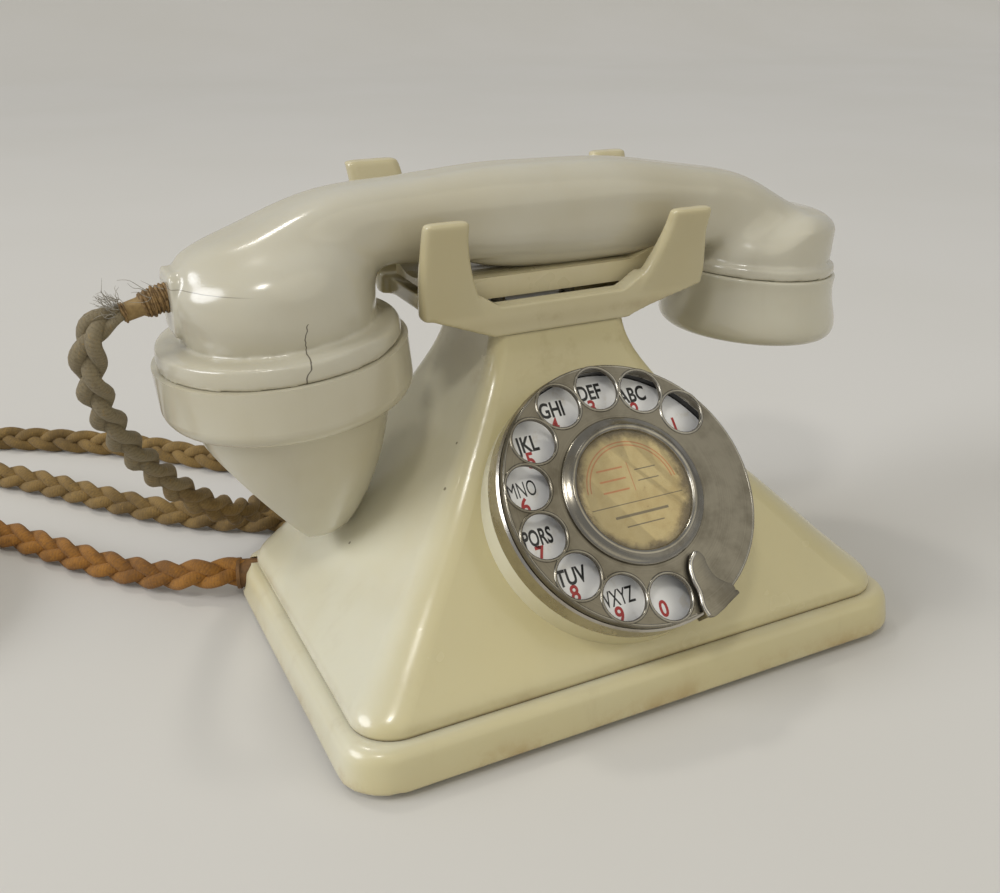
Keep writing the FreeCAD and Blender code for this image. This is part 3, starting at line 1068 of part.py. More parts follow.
# The line cord's tail drops from the coil into a small wall terminal
tail_start, tail_way = coil_last[0] + coil_last[1] * lead, coil_last[1]
BLOCK_ENTRY = 6.0 + val("cord_size") / 2
tail_fall = Vec(0, 0, BLOCK_ENTRY - tail_start.z)
tail_points = [tail_start, tail_start + tail_way * 14, tail_start + tail_way * 30 + tail_fall,
               tail_start + tail_way * 46 + tail_fall]
cord_tube("line_cord_tail", route_edges(tail_points, "line_cord_tail"))


def at_block(thing):
    """Turns a piece made along +X from the cord's end to lie where the line cord ends."""
    thing.Placement = FreeCAD.Placement(Vec(tail_points[-1].x, tail_points[-1].y, 0),
                                        FreeCAD.Rotation(Vec(1, 0, 0), unit(tail_way)))
    return thing


block_edges = new_body("block_cover_body")
cover_sketch = rounded(block_edges, "block_cover_outline", "XY_Plane", "block_base", ("0", "block_long"),
                       ("-block_wide / 2", "block_wide / 2"), "block_round")
cover_pad = block_edges.newObject("PartDesign::Pad", "block_cover_pad")
cover_pad.Profile = cover_sketch
bind(cover_pad, Length="block_cover")
cover_hole = rod("cover_hole", SCREW_HOLE, "0", "block_base + block_cover + 1", "block_long / 2", "0")
cover_room = box("cover_room", ("3", "block_long - 3"), ("3 - block_wide / 2", "block_wide / 2 - 3"),
                 ("block_base - 1", "block_base + block_cover - 3"))
cover_post = rod("cover_post", "4", "block_base", "block_base + block_cover - 2.8", "block_long / 2", "0")
hollow_cover = cut("hollow_cover", block_edges, cut("cover_room_cut", cover_room, cover_post), cover_hole)
node("terminal_cover", at_block(hollow_cover))
base_block = new_body("block_base_body")
base_sketch = rounded(base_block, "block_base_outline", "XY_Plane", 0, ("0", "block_long"),
                      ("-block_wide / 2", "block_wide / 2"), "block_round")
base_pad = base_block.newObject("PartDesign::Pad", "block_base_pad")
base_pad.Profile = base_sketch
bind(base_pad, Length="block_base")
node("terminal_base", at_block(cut("terminal_base_cut", base_block, rod(
    "base_hole", SCREW_HOLE, "1", "block_base + 1", "block_long / 2", "0"))))
node("terminal_cover_screw", at_block(fuse(
    "cover_screw", rod("cover_shank", "screw_radius", "1.2", "block_base + block_cover", "block_long / 2",
                       "0"),
    rod("cover_head", "screw_head", "block_base + block_cover", "block_base + block_cover + head_high",
        "block_long / 2", "0"))))

# Checks before anything is written
doc.recompute()
failed = [thing.Label for thing in doc.Objects if "Invalid" in thing.State or "Error" in thing.State]
if failed:
    raise RuntimeError(f"features failed: {failed}")
os.makedirs("parts", exist_ok=True)
for label, thing in nodes.items():
    shape = thing.Shape
    if shape.isNull() or not shape.isValid() or not shape.Solids:
        raise RuntimeError(f"{label} has no valid solid")
for label, thing in nodes.items():
    thing.Shape.exportStep(f"parts/{label}.step")
print(len(nodes), "sub-parts written")
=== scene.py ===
import math
import random

import bmesh
import bpy
from mathutils import Matrix, Vector


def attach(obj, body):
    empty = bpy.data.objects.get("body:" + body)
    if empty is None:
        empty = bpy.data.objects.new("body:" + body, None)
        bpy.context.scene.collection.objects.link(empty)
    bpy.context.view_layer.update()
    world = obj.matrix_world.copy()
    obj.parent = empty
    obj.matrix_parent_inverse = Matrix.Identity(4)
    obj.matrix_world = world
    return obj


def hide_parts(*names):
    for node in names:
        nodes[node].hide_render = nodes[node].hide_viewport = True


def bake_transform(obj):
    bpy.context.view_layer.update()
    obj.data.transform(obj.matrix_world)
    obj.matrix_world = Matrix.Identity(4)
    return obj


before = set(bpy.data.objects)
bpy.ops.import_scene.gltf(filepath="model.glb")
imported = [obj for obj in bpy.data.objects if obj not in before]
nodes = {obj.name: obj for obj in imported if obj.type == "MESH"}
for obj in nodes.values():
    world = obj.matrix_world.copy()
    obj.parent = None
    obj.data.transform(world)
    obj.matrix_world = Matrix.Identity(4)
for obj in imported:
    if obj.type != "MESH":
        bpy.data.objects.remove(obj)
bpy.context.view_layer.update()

# BASE PLINTH
# The shallow tray the whole telephone stands on: ivory moulding that has yellowed with age.
# It is pressed in one piece, and its rim takes the body case with a fine dark parting line.


def fill(node, sockets):
    """Links sockets to a shader node's inputs, and sets the inputs that are given plain values."""
    for key, value in sockets.items():
        if isinstance(value, bpy.types.NodeSocket):
            node.id_data.links.new(value, node.inputs[key])
        else:
            node.inputs[key].default_value = value


def lay(kind, sockets=None, tree=None, **settings):
    """Adds one shader node to a tree, or to the tree that feeds it, with its options and sockets."""
    sockets = sockets or {}
    feeding = [value.id_data for value in sockets.values() if isinstance(value, bpy.types.NodeSocket)]
    made = (tree or feeding[0]).nodes.new(kind)
    for key, value in settings.items():
        setattr(made, key, value)
    fill(made, sockets)
    return made


def sum_of(kind, first, second=0.0, third=0.0):
    """One math node on values or sockets."""
    return lay("ShaderNodeMath", {0: first, 1: second, 2: third}, operation=kind).outputs[0]


def times(first, second):
    """The product of two values."""
    return sum_of("MULTIPLY", first, second)


def gap_of(first, second):
    """How far apart two values are."""
    return sum_of("ABSOLUTE", sum_of("SUBTRACT", first, second))


def span_of(value, low, high, to_low=0.0, to_high=1.0):
    """A value's place between two limits, clamped and smooth."""
    limits = {"From Min": low, "From Max": high, "To Min": to_low, "To Max": to_high}
    made = lay("ShaderNodeMapRange", {"Value": value, **limits}, interpolation_type="SMOOTHSTEP")
    return made.outputs["Result"]


def blend_of(share, first, second):
    """A colour between two colours."""
    return lay("ShaderNodeMix", {0: share, 6: first, 7: second}, data_type="RGBA").outputs[2]


def here(tree):
    """A surface point's place in the part's own frame."""
    return lay("ShaderNodeTexCoord", tree=tree).outputs["Object"]


def parts_of(place):
    """The X, Y and Z of a place."""
    return lay("ShaderNodeSeparateXYZ", {"Vector": place}).outputs


def stretched(place, scale, turn=(0, 0, 0)):
    """Coordinates squeezed or turned, for streaks and scratches."""
    return lay("ShaderNodeMapping", {"Vector": place, "Scale": scale, "Rotation": turn}).outputs["Vector"]


def noise_of(place, scale, detail=3.0, rough=0.5):
    """Cloudy noise between 0 and 1."""
    sockets = {"Vector": place, "Scale": scale, "Detail": detail, "Roughness": rough}
    return lay("ShaderNodeTexNoise", sockets).outputs["Fac"]


def patches(place, scale, detail, rough, low, high, to_low=0.0, to_high=1.0):
    """Cloudy noise in clearer patches, between two limits."""
    return span_of(noise_of(place, scale, detail, rough), low, high, to_low, to_high)


def bumped(skin, height, strength, distance):
    """Gives a material fine relief."""
    bump = lay("ShaderNodeBump", {"Height": height, "Strength": strength, "Distance": distance})
    fill(skin, {"Normal": bump.outputs["Normal"]})


def new_group(name, inputs, outputs):
    """An empty shader group with named inputs and outputs."""
    group = bpy.data.node_groups.new(name, "ShaderNodeTree")
    for label, kind in inputs:
        group.interface.new_socket(name=label, in_out="INPUT", socket_type=kind)
    for label, kind in outputs:
        group.interface.new_socket(name=label, in_out="OUTPUT", socket_type=kind)
    source = group.nodes.new("NodeGroupInput")
    sink = group.nodes.new("NodeGroupOutput")
    return group, source.outputs, lambda label, socket: group.links.new(socket, sink.inputs[label])


FLOAT, COLOUR = "NodeSocketFloat", "NodeSocketColor"

aged, given, give = new_group(
    "aged_moulding",
    [("Fresh", COLOUR), ("Yellowed", COLOUR), ("Stain", COLOUR), ("Staining", FLOAT), ("Polish", FLOAT),
     ("Front_Shade", COLOUR), ("Front_Shading", FLOAT)],
    [("Colour", COLOUR), ("Roughness", FLOAT), ("Height", FLOAT)])
spot_on = lay("ShaderNodeTexCoord", tree=aged)
at = spot_on.outputs["Object"]
cloud = patches(at, 17.0, 4.0, 0.5, 0.36, 0.66)
mottle = noise_of(at, 85.0, 4.0, 0.62)
tone = blend_of(cloud, given["Fresh"], given["Yellowed"])
tone = blend_of(span_of(mottle, 0.55, 0.8, 0.0, 0.22), tone, given["Yellowed"])
# Painted shade: faces turned to the front are blended towards a darker, yellower colour, as if they got less
# light than the faces on the left.
facing = lay("ShaderNodeVectorMath", {0: spot_on.outputs["Normal"], 1: (0.15, -1.0, 0.0)},
             operation="DOT_PRODUCT").outputs["Value"]
front_shaded = times(span_of(facing, -0.1, 0.75), given["Front_Shading"])
tone = blend_of(front_shaded, tone, given["Front_Shade"])
streak = noise_of(stretched(at, (120, 120, 14)), 1.0, 5.0, 0.6)
wash = times(span_of(streak, 0.54, 0.78), given["Staining"])
tone = blend_of(wash, tone, given["Stain"])
cells = lay("ShaderNodeTexVoronoi", {"Vector": at, "Scale": 135.0})
spot = sum_of("LESS_THAN", cells.outputs["Distance"], 0.075)
chosen = lay("ShaderNodeSeparateColor", {"Color": cells.outputs["Color"]}).outputs["Red"]
rare = sum_of("GREATER_THAN", chosen, 0.965)
speck = times(spot, rare)
tone = blend_of(times(speck, 0.7), tone, (0.10, 0.075, 0.045, 1))
give("Colour", tone)
worn = patches(at, 24.0, 4.0, 0.6, 0.25, 0.85, 0.0, 0.10)
give("Roughness", sum_of("ADD", given["Polish"], worn))
dimple = noise_of(at, 150.0, 2.0)
give("Height", sum_of("ADD", dimple, times(speck, -0.4)))

# A dark band at one height, patchy unless made even: dirt along a seam, or painted shadow where the case's
# neck lies under the handset.
grime_and_shade, given, give = new_group("grime_and_shade_line", [("Level", FLOAT), ("Spread", FLOAT), ("Even", FLOAT)],
                               [("Mask", FLOAT)])
at = here(grime_and_shade)
height = parts_of(at)["Z"]
away = gap_of(height, given["Level"])
near = sum_of("SUBTRACT", 1.0, sum_of("DIVIDE", away, given["Spread"]))
patchy = patches(at, 55.0, 5.0, 0.7, 0.38, 0.72)
patchy = sum_of("MAXIMUM", patchy, given["Even"])
give("Mask", times(span_of(near, 0.0, 1.0), patchy))


def new_material(name):
    """A fresh material with its surface shader."""
    material = bpy.data.materials.new(name)
    material.use_nodes = True
    return material, material.node_tree, material.node_tree.nodes["Principled BSDF"]


def wear(node, material):
    """Dresses a CAD node in one material."""
    mesh = nodes[node].data
    mesh.materials.clear()
    mesh.materials.append(material)
    mesh.polygons.foreach_set("material_index", [0] * len(mesh.polygons))


def moulding(name, fresh, yellowed, stain, staining, polish, lines=(), front_shade=None, front_shading=0.0):
    """Ivory moulding: yellowed in clouds, stained in streaks, darkened in bands at given heights such as its
    seams, with painted shade on its front faces.
    """
    material, tree, skin = new_material(name)
    tones = {"Fresh": fresh, "Yellowed": yellowed, "Stain": stain, "Front_Shade": front_shade or yellowed}
    age = lay("ShaderNodeGroup", {"Staining": staining, "Polish": polish, "Front_Shading": front_shading}, tree,
              node_tree=aged)
    fill(age, {label: (*value, 1) for label, value in tones.items()})
    tone = age.outputs["Colour"]
    for level, spread, strength, colour, even in lines:
        where = {"Level": level, "Spread": spread, "Even": even}
        line = lay("ShaderNodeGroup", where, tree, node_tree=grime_and_shade)
        tone = blend_of(times(line.outputs["Mask"], strength), tone, (*colour, 1))
    fill(skin, {"Base Color": tone, "Roughness": age.outputs["Roughness"], "Coat Weight": 0.35,
                "Coat Roughness": 0.12, "Subsurface Weight": 0.06,
                "Subsurface Radius": (0.004, 0.003, 0.0015)})
    bumped(skin, age.outputs["Height"], 0.12, 0.0004)
    return material, tree, skin, tone


STAIN_BROWN = (0.30, 0.20, 0.085)
SEAM_DARK = (0.085, 0.055, 0.022)
CASE_FRONT_SHADE = (0.545, 0.475, 0.245)
# The plinth's front faces carry painted shade: a darker, yellower colour blended in by facing.
plinth_ivory = moulding("ivory_plinth", (0.64, 0.605, 0.445), (0.595, 0.53, 0.33), STAIN_BROWN, 0.14, 0.27,
                        ((0.0025, 0.0075, 0.75, (0.38, 0.26, 0.10), 0.12),), CASE_FRONT_SHADE, 0.75)[0]


def shown(name, data):
    """Makes an object and puts it in the scene."""
    thing = bpy.data.objects.new(name, data)
    bpy.context.scene.collection.objects.link(thing)
    return thing


def finished(name, mesh_tool, material, body=None, smooth=True):
    """Makes an object of a bmesh, in one material, riding on one CAD body if that is named."""
    mesh = bpy.data.meshes.new(name)
    mesh_tool.to_mesh(mesh)
    mesh_tool.free()
    mesh.materials.append(material)
    mesh.polygons.foreach_set("use_smooth", [smooth] * len(mesh.polygons))
    piece = shown(name, mesh)
    if body:
        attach(piece, body)
    return piece


def baked(thing):
    """The mesh that a piece or curve shows, with its modifiers in it."""
    return bpy.data.meshes.new_from_object(thing.evaluated_get(bpy.context.evaluated_depsgraph_get()))


def eased(node, body, material, step, rounds, plugs=()):
    """A moulding with eased edges: a welded copy, its hollows plugged, skinned again in even steps."""
    tool = bmesh.new()
    tool.from_mesh(nodes[node].data)
    bmesh.ops.remove_doubles(tool, verts=tool.verts, dist=1e-6)
    for foot, radius, long in plugs:
        bmesh.ops.create_cone(tool, cap_ends=True, segments=96, radius1=radius, radius2=radius, depth=long,
                              matrix=foot @ Matrix.Translation((0, 0, long / 2)))
    piece = finished(node + "_eased", tool, material, body)
    skin_again = piece.modifiers.new("even_skin", "REMESH")
    skin_again.mode = "VOXEL"
    skin_again.voxel_size = step
    skin_again.use_smooth_shade = True
    ease = piece.modifiers.new("eased_edges", "SMOOTH")
    ease.factor, ease.iterations = 0.5, rounds
    piece.data = baked(piece)
    piece.modifiers.clear()
    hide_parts(node)
    return piece


eased("base_plinth", "base", plinth_ivory, 0.0008, 34)

# BASE PLATE, FEET AND SCREWS
# A pressed steel plate closes the plinth from below, held by four screws.
# Four black rubber feet keep it off the table, and soft brown bushes line the two cord holes.


def plain_metal(name, colour, dull, rough):
    """Plated or bare metal, clouded by tarnish and crossed by fine scratches."""
    material, tree, skin = new_material(name)
    at = here(tree)
    cloud = patches(at, 120.0, 5.0, 0.6, 0.38, 0.7)
    scratched = stretched(at, (60, 1500, 400), (0.3, 0.6, 0.9))
    line = patches(scratched, 1.0, 2.0, 0.5, 0.6, 0.72)
    rougher = sum_of("MULTIPLY_ADD", cloud, 0.16, rough)
    fill(skin, {"Base Color": blend_of(cloud, (*colour, 1), (*dull, 1)), "Metallic": 1.0,
                "Roughness": sum_of("ADD", rougher, times(line, 0.12))})
    bumped(skin, noise_of(at, 700.0, 3.0), 0.1, 0.0002)
    return material


def grained(name, colour, other, scale, rough):
    """A plain moulded or pressed stuff with a fine grain: rubber, fibre, board."""
    material, tree, skin = new_material(name)
    at = here(tree)
    grain = noise_of(at, scale, 5.0, 0.65)
    fill(skin, {"Base Color": blend_of(span_of(grain, 0.35, 0.7), (*colour, 1), (*other, 1)),
                "Roughness": span_of(grain, 0.2, 0.8, rough - 0.08, rough + 0.08)})
    bumped(skin, grain, 0.25, 0.0003)
    return material


zinc = plain_metal("zinc_plate", (0.42, 0.41, 0.39), (0.26, 0.245, 0.215), 0.38)
steel = plain_metal("spring_steel", (0.50, 0.49, 0.47), (0.34, 0.32, 0.29), 0.30)
brass = plain_metal("aged_brass", (0.62, 0.44, 0.18), (0.33, 0.21, 0.075), 0.30)
rubber = grained("foot_rubber", (0.020, 0.019, 0.018), (0.045, 0.042, 0.038), 420.0, 0.72)
wear("base_plate", zinc)
wear("base_screws", steel)
wear("base_feet", rubber)
CORD_MOUTHS = (((-0.0915, 0.0534, 0.0088), (0.9397, -0.3420, 0)), ((-0.036, 0.0632, 0.0088), (0, -1, 0)))
BUSH_STEPS = ((0.0047, 0.0120), (0.0052, 0.0012))
bushes = bmesh.new()
for mouth, inward in CORD_MOUTHS:
    stand = Matrix.Translation(mouth) @ Vector(inward).to_track_quat("Z", "Y").to_matrix().to_4x4()
    for radius, long in BUSH_STEPS:
        bmesh.ops.create_cone(bushes, cap_ends=True, segments=48, radius1=radius, radius2=radius, depth=long,
                              matrix=stand @ Matrix.Translation((0, 0, long / 2)))
bush_brown = grained("bush_rubber", (0.20, 0.095, 0.022), (0.12, 0.055, 0.013), 380.0, 0.62)
cord_bushes = finished("cord_bushes", bushes, bush_brown, "base", smooth=False)
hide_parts("cord_grommets")

# BODY CASE
# The pyramid with its concave neck, pressed from the same ivory stuff as the plinth.
# It is a hollow shell that drops into the plinth's rim, with a round seat for the dial.
# Bands on the case: a brown band just above the plinth, the dark parting line, and painted shadow on the
# neck under the handset. Its front faces carry painted shade as well.
CASE_LINES = ((0.0150, 0.0042, 0.35, (0.26, 0.17, 0.07), 0.1), (0.0142, 0.0013, 1.0, SEAM_DARK, 0.9),
              (0.090, 0.018, 0.42, (0.33, 0.245, 0.105), 0.35))
case_ivory = moulding("ivory_case", (0.655, 0.625, 0.475), (0.61, 0.56, 0.385), STAIN_BROWN, 0.07, 0.20,
                      CASE_LINES, CASE_FRONT_SHADE, 0.85)[0]
wear("body_case", case_ivory)

# WORKS INSIDE THE CASE
# An induction coil on fibre cheeks, a terminal strip and the cradle switch on its steel bracket.
# Contact blades are nickel silver between fibre insulators, fixed to the underside of the deck.
fibre = grained("red_fibre", (0.23, 0.060, 0.030), (0.15, 0.038, 0.020), 300.0, 0.62)
nickel_silver = plain_metal("nickel_silver", (0.60, 0.56, 0.47), (0.42, 0.38, 0.29), 0.26)
dark_board = grained("insulating_board", (0.040, 0.026, 0.017), (0.075, 0.050, 0.032), 260.0, 0.5)
iron = plain_metal("soft_iron", (0.20, 0.19, 0.18), (0.11, 0.10, 0.09), 0.5)
WORKS = ((fibre, "coil_cheeks switch_insulators"),
         (iron, "coil_core"),
         (dark_board, "terminal_strip impulse_block"),
         (brass, "terminal_screws plunger_guides dial_bush dial_pillars main_gear"),
         (brass, "governor_weights governor_arm"),
         (zinc, "switch_bracket plunger_stems dial_plate dial_bridge governor_cup"),
         (steel, "plunger_spring lever_pin dial_spindle pinion_shaft mainspring spring_barrel impulse_cam"),
         (steel, "receiver_diaphragm"),
         (nickel_silver, "switch_springs impulse_springs switch_lever"))
for stuff, names in WORKS:
    for name in names.split():
        wear(name, stuff)


def wound_wire(name, colour, dark, pitch, axis):
    """Fine wire or thread wound side by side: ridges across one axis, with painted shade in the grooves
    between turns.
    """
    material, tree, skin = new_material(name)
    at = here(tree)
    along = lay("ShaderNodeVectorMath", {0: at, 1: axis}, operation="DOT_PRODUCT").outputs["Value"]
    drift = sum_of("MULTIPLY_ADD", noise_of(at, 240.0, 2.0), pitch * 0.7, along)
    ridge = sum_of("SINE", times(drift, 2 * math.pi / pitch))
    # Painted shade: the grooves between turns take the dark colour.
    share = span_of(ridge, -0.9, 0.7)
    tone = blend_of(share, (*dark, 1), (*colour, 1))
    worn = patches(at, 320.0, 4.0, 0.5, 0.4, 0.75, 0.0, 0.55)
    fill(skin, {"Base Color": blend_of(worn, tone, (*dark, 1)),
                "Roughness": span_of(share, 0.0, 1.0, 0.85, 0.62)})
    bumped(skin, ridge, 0.75, pitch * 0.3)
    return material


wear("coil_winding", wound_wire("coil_wire", (0.40, 0.16, 0.055), (0.12, 0.045, 0.018), 0.0006, (1, 0, 0)))

# CRADLE AND PLUNGER
# A separate ivory moulding screwed to the neck: a tray with a stepped front and four horns with rubbed tips.
# Its handled edges have gone yellower than the case; the bar in it sinks under the handset.
# The cradle's front faces carry painted shade: a darker, yellower colour blended in by facing.
cradle_ivory = moulding("ivory_cradle", (0.575, 0.525, 0.36), (0.52, 0.45, 0.265), STAIN_BROWN, 0.10, 0.19,
                        ((0.1000, 0.0030, 0.4, (0.24, 0.16, 0.07), 0.3),), (0.50, 0.435, 0.25), 0.6)[0]
wear("plunger_bar", moulding("ivory_bar", (0.56, 0.50, 0.32), (0.50, 0.42, 0.23), STAIN_BROWN, 0.2, 0.26)[0])
cradle_eased = eased("cradle", "base", cradle_ivory, 0.0006, 7)


def ramp(value, low, high):
    """0 at low and 1 at high, smooth between."""
    share = min(1.0, max(0.0, (value - low) / (high - low)))
    return share * share * (3 - 2 * share)


TRAY_MIDDLE, HORN_FOOT, FRONT_TIP, BACK_TIP = 0.024, 0.112, 0.130, 0.132
RISE_FRONT_LEFT, RISE_FRONT_RIGHT, RISE_BACK_LEFT, RISE_BACK_RIGHT = 0.0018, -0.0012, 0.0022, -0.0006
ARM_OUT_HIGH, ARM_OUT_LOW = 0.0010, 0.0040
BACK_LEFT_X, BACK_LEFT_WIDER, BACK_RIGHT_SHIFT = -0.0404, 0.27, 0.0012
tips = cradle_eased.vertex_groups.new(name="worn_tips")
for vert in cradle_eased.data.vertices:
    x, y, z = vert.co
    if y < TRAY_MIDDLE:
        out = ARM_OUT_HIGH + ARM_OUT_LOW * ramp(z, 0.124, 0.104)
        vert.co.x += out * ramp(x, 0.026, 0.042) * ramp(y, 0.013, 0.006)
        vert.co.z += (RISE_FRONT_RIGHT if x > 0 else RISE_FRONT_LEFT) * ramp(z, HORN_FOOT, FRONT_TIP)
    elif x < 0:
        vert.co.x += BACK_LEFT_WIDER * (x - BACK_LEFT_X) * ramp(z, 0.110, 0.120)
        vert.co.z += RISE_BACK_LEFT * ramp(z, HORN_FOOT, BACK_TIP)
    else:
        vert.co.x += BACK_RIGHT_SHIFT * ramp(z, 0.110, 0.130)
        vert.co.z += RISE_BACK_RIGHT * ramp(z, HORN_FOOT, BACK_TIP)
    if z > 0.116:
        tips.add([vert.index], ramp(z, 0.116, 0.124), "REPLACE")
rubbed = cradle_eased.modifiers.new("rubbed_tips", "SMOOTH")
rubbed.factor, rubbed.iterations, rubbed.vertex_group = 0.5, 26, tips.name
wear("cradle_screws", steel)

# DIAL
# A plated cup in the case's seat carries a white enamelled number plate under a steel finger wheel.
# The wheel is brushed in rings and has bright rolled rims; its centre holds a card under a clear disc.
DIAL_AT = Vector((0, -0.0414, 0.0611))
DIAL_TILT = math.radians(90 - 43.2)
DIAL_TURN = Matrix.Translation(DIAL_AT) @ Matrix.Rotation(DIAL_TILT, 4, "X")
HOLE_RING, HOLE_SIZE, HOLE_FIRST, HOLE_STEP, WHEEL_EDGE = 0.0309, 0.0064, 38.5, 25.63, 0.0376


def on_dial(tree):
    """Coordinates in the dial's own plane, with its spindle as Z."""
    at = here(tree)
    placed = {"Vector": at, "Location": DIAL_AT, "Rotation": (DIAL_TILT, 0, 0)}
    return lay("ShaderNodeMapping", placed, vector_type="TEXTURE").outputs["Vector"]


def from_spindle(place):
    """A place's distance from the spindle."""
    flat = lay("ShaderNodeVectorMath", {0: place, 1: (1, 1, 0)}, operation="MULTIPLY")
    return lay("ShaderNodeVectorMath", {0: flat.outputs["Vector"]}, operation="LENGTH").outputs["Value"]


def turned_metal(name, colour, dull, rough, ring_depth, tarnish_and_left_shade, shade_within=0.0):
    """Metal turned in fine rings, tarnished in patches, with painted shade on its left side and near-black
    painted shade deep inside.
    """
    material, tree, skin = new_material(name)
    at = on_dial(tree)
    radius = from_spindle(at)
    outward = lay("ShaderNodeCombineXYZ", {"X": times(radius, 2600.0)})
    rings = noise_of(outward.outputs["Vector"], 1.0, 4.0, 0.7)
    patch = patches(at, 75.0, 5.0, 0.65, 0.4, 0.7)
    share = times(patch, tarnish_and_left_shade)
    share = sum_of("ADD", share, span_of(rings, 0.35, 0.75, 0.0, 0.3))
    parts = parts_of(at)
    # Painted shade: the metal darkens towards its left side, where less light falls.
    share = sum_of("ADD", share, span_of(parts["X"], 0.020, -0.032, 0.0, tarnish_and_left_shade))
    # Painted shade: deep in the cup and within the given radius the metal is painted near-black and not
    # metallic, where it lies in shadow.
    deep = sum_of("LESS_THAN", parts["Z"], -0.0034)
    painted = times(sum_of("LESS_THAN", radius, shade_within), deep)
    tone = blend_of(share, (*colour, 1), (*dull, 1))
    rougher = sum_of("MULTIPLY_ADD", patch, 0.14, rough)
    fill(skin, {"Base Color": blend_of(painted, tone, (0.012, 0.011, 0.010, 1)),
                "Roughness": sum_of("ADD", rougher, span_of(rings, 0.3, 0.8, 0.0, 0.1)),
                "Metallic": sum_of("SUBTRACT", 1.0, painted)})
    bumped(skin, rings, ring_depth, 0.0002)
    return material


wheel_steel = turned_metal("wheel_steel", (0.27, 0.248, 0.200), (0.150, 0.131, 0.095), 0.34, 0.16, 0.5)
# The dial case gets the near-black painted shade inside its cup, out to the wheel's rim.
bright_plate = turned_metal("bright_plate", (0.58, 0.555, 0.50), (0.37, 0.335, 0.275), 0.14, 0.05, 0.5,
                            0.0377)
worn_plate = turned_metal("worn_plate", (0.38, 0.36, 0.315), (0.19, 0.17, 0.13), 0.13, 0.05, 0.6)
wear("dial_case", bright_plate)
wear("finger_wheel", wheel_steel)


def ring_into(tool, middle, radius, thick, steps=48):
    """Spins a small round bead round a centre into a closed ring, in the dial's plane."""
    stand = Matrix.Translation(Vector(middle) + Vector((radius, 0, 0)))
    stand = stand @ Matrix.Rotation(math.pi / 2, 4, "X")
    bead = bmesh.ops.create_circle(tool, segments=10, radius=thick, matrix=stand)["verts"]
    rim = list({edge for vert in bead for edge in vert.link_edges})
    bmesh.ops.spin(tool, geom=bead + rim, cent=middle, axis=(0, 0, 1), angle=2 * math.pi, steps=steps,
                   use_merge=True)


def set_up(tool, stand):
    """Welds a form that was made about the origin and stands it in its place."""
    bmesh.ops.remove_doubles(tool, verts=tool.verts, dist=1e-6)
    bmesh.ops.recalc_face_normals(tool, faces=tool.faces)
    tool.transform(stand)
    return tool


def spun(profile, steps, closed=True):
    """A form turned about Z: the places of its profile are radius and height in millimetres."""
    tool = bmesh.new()
    corners = [tool.verts.new((r / 1000, 0, z / 1000)) for r, z in profile]
    ahead = corners[1:] + corners[:1] if closed else corners[1:]
    outline = [tool.edges.new(pair) for pair in zip(corners, ahead)]
    bmesh.ops.spin(tool, geom=corners + outline, cent=(0, 0, 0), axis=(0, 0, 1), angle=2 * math.pi,
                   steps=steps, use_merge=True)
    return tool


rims = bmesh.new()
for i in range(10):
    angle = math.radians(HOLE_FIRST + HOLE_STEP * i)
    middle = (HOLE_RING * math.cos(angle), HOLE_RING * math.sin(angle), -0.0001)
    ring_into(rims, middle, HOLE_SIZE + 0.0003, 0.00048)
ring_into(rims, (0, 0, -0.0004), WHEEL_EDGE, 0.0005, steps=96)
finished("finger_hole_rims", set_up(rims, DIAL_TURN), worn_plate, "dial")

RING_PROFILE = ((17.3, 1.4), (17.6, 1.9), (18.2, 2.2), (18.8, 2.15), (19.2, 1.8), (20.6, 1.25), (21.3, 0.95),
                (21.5, 0.6), (21.5, 0.02), (17.3, 0.6))
label_ring = finished("label_clamp_ring", set_up(spun(RING_PROFILE, 96), DIAL_TURN), worn_plate, "dial")
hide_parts("label_ring")
rolled = label_ring.modifiers.new("rolled_edges", "BEVEL")
rolled.width, rolled.segments, rolled.limit_method = 0.00022, 3, "ANGLE"

# FINGER STOP
# A plated blade that is screwed to the dial's rim and reaches over the wheel.
# Its edge towards the finger is rolled into a bright lip; its root bends down outside the wheel.
STOP_BLADE = ((7.6, -38.6), (7.0, -36.0), (7.4, -32.0), (7.0, -27.8), (8.0, -23.6), (10.4, -21.2),
              (12.2, -22.6), (12.4, -25.4), (13.4, -28.8), (15.8, -31.2), (18.0, -32.9), (18.1, -34.2),
              (15.9, -36.0), (12.0, -38.1))
STOP_LIP = STOP_BLADE[:6]
STOP_LOW, STOP_HIGH, STOP_ROUND = 0.0008, 0.0020, 0.00025


def dial_curve(name, points, height, closed):
    """A curve through points of the dial's plane, given in millimetres."""
    curve = bpy.data.curves.new(name, "CURVE")
    curve.dimensions = "2D" if closed else "3D"
    line = curve.splines.new("BEZIER")
    line.bezier_points.add(len(points) - 1)
    for knot, (x, y) in zip(line.bezier_points, points):
        knot.co = (x / 1000, y / 1000, 0 if closed else height)
        knot.handle_left_type = knot.handle_right_type = "AUTO"
    line.use_cyclic_u = closed
    line.resolution_u = 8
    return curve


def from_curve(curve, lift=0.0):
    """The mesh of a curve, raised along Z."""
    solid = shown(curve.name, curve)
    mesh = baked(solid)
    bpy.data.objects.remove(solid)
    bpy.data.curves.remove(curve)
    mesh.transform(Matrix.Translation((0, 0, lift)))
    return mesh


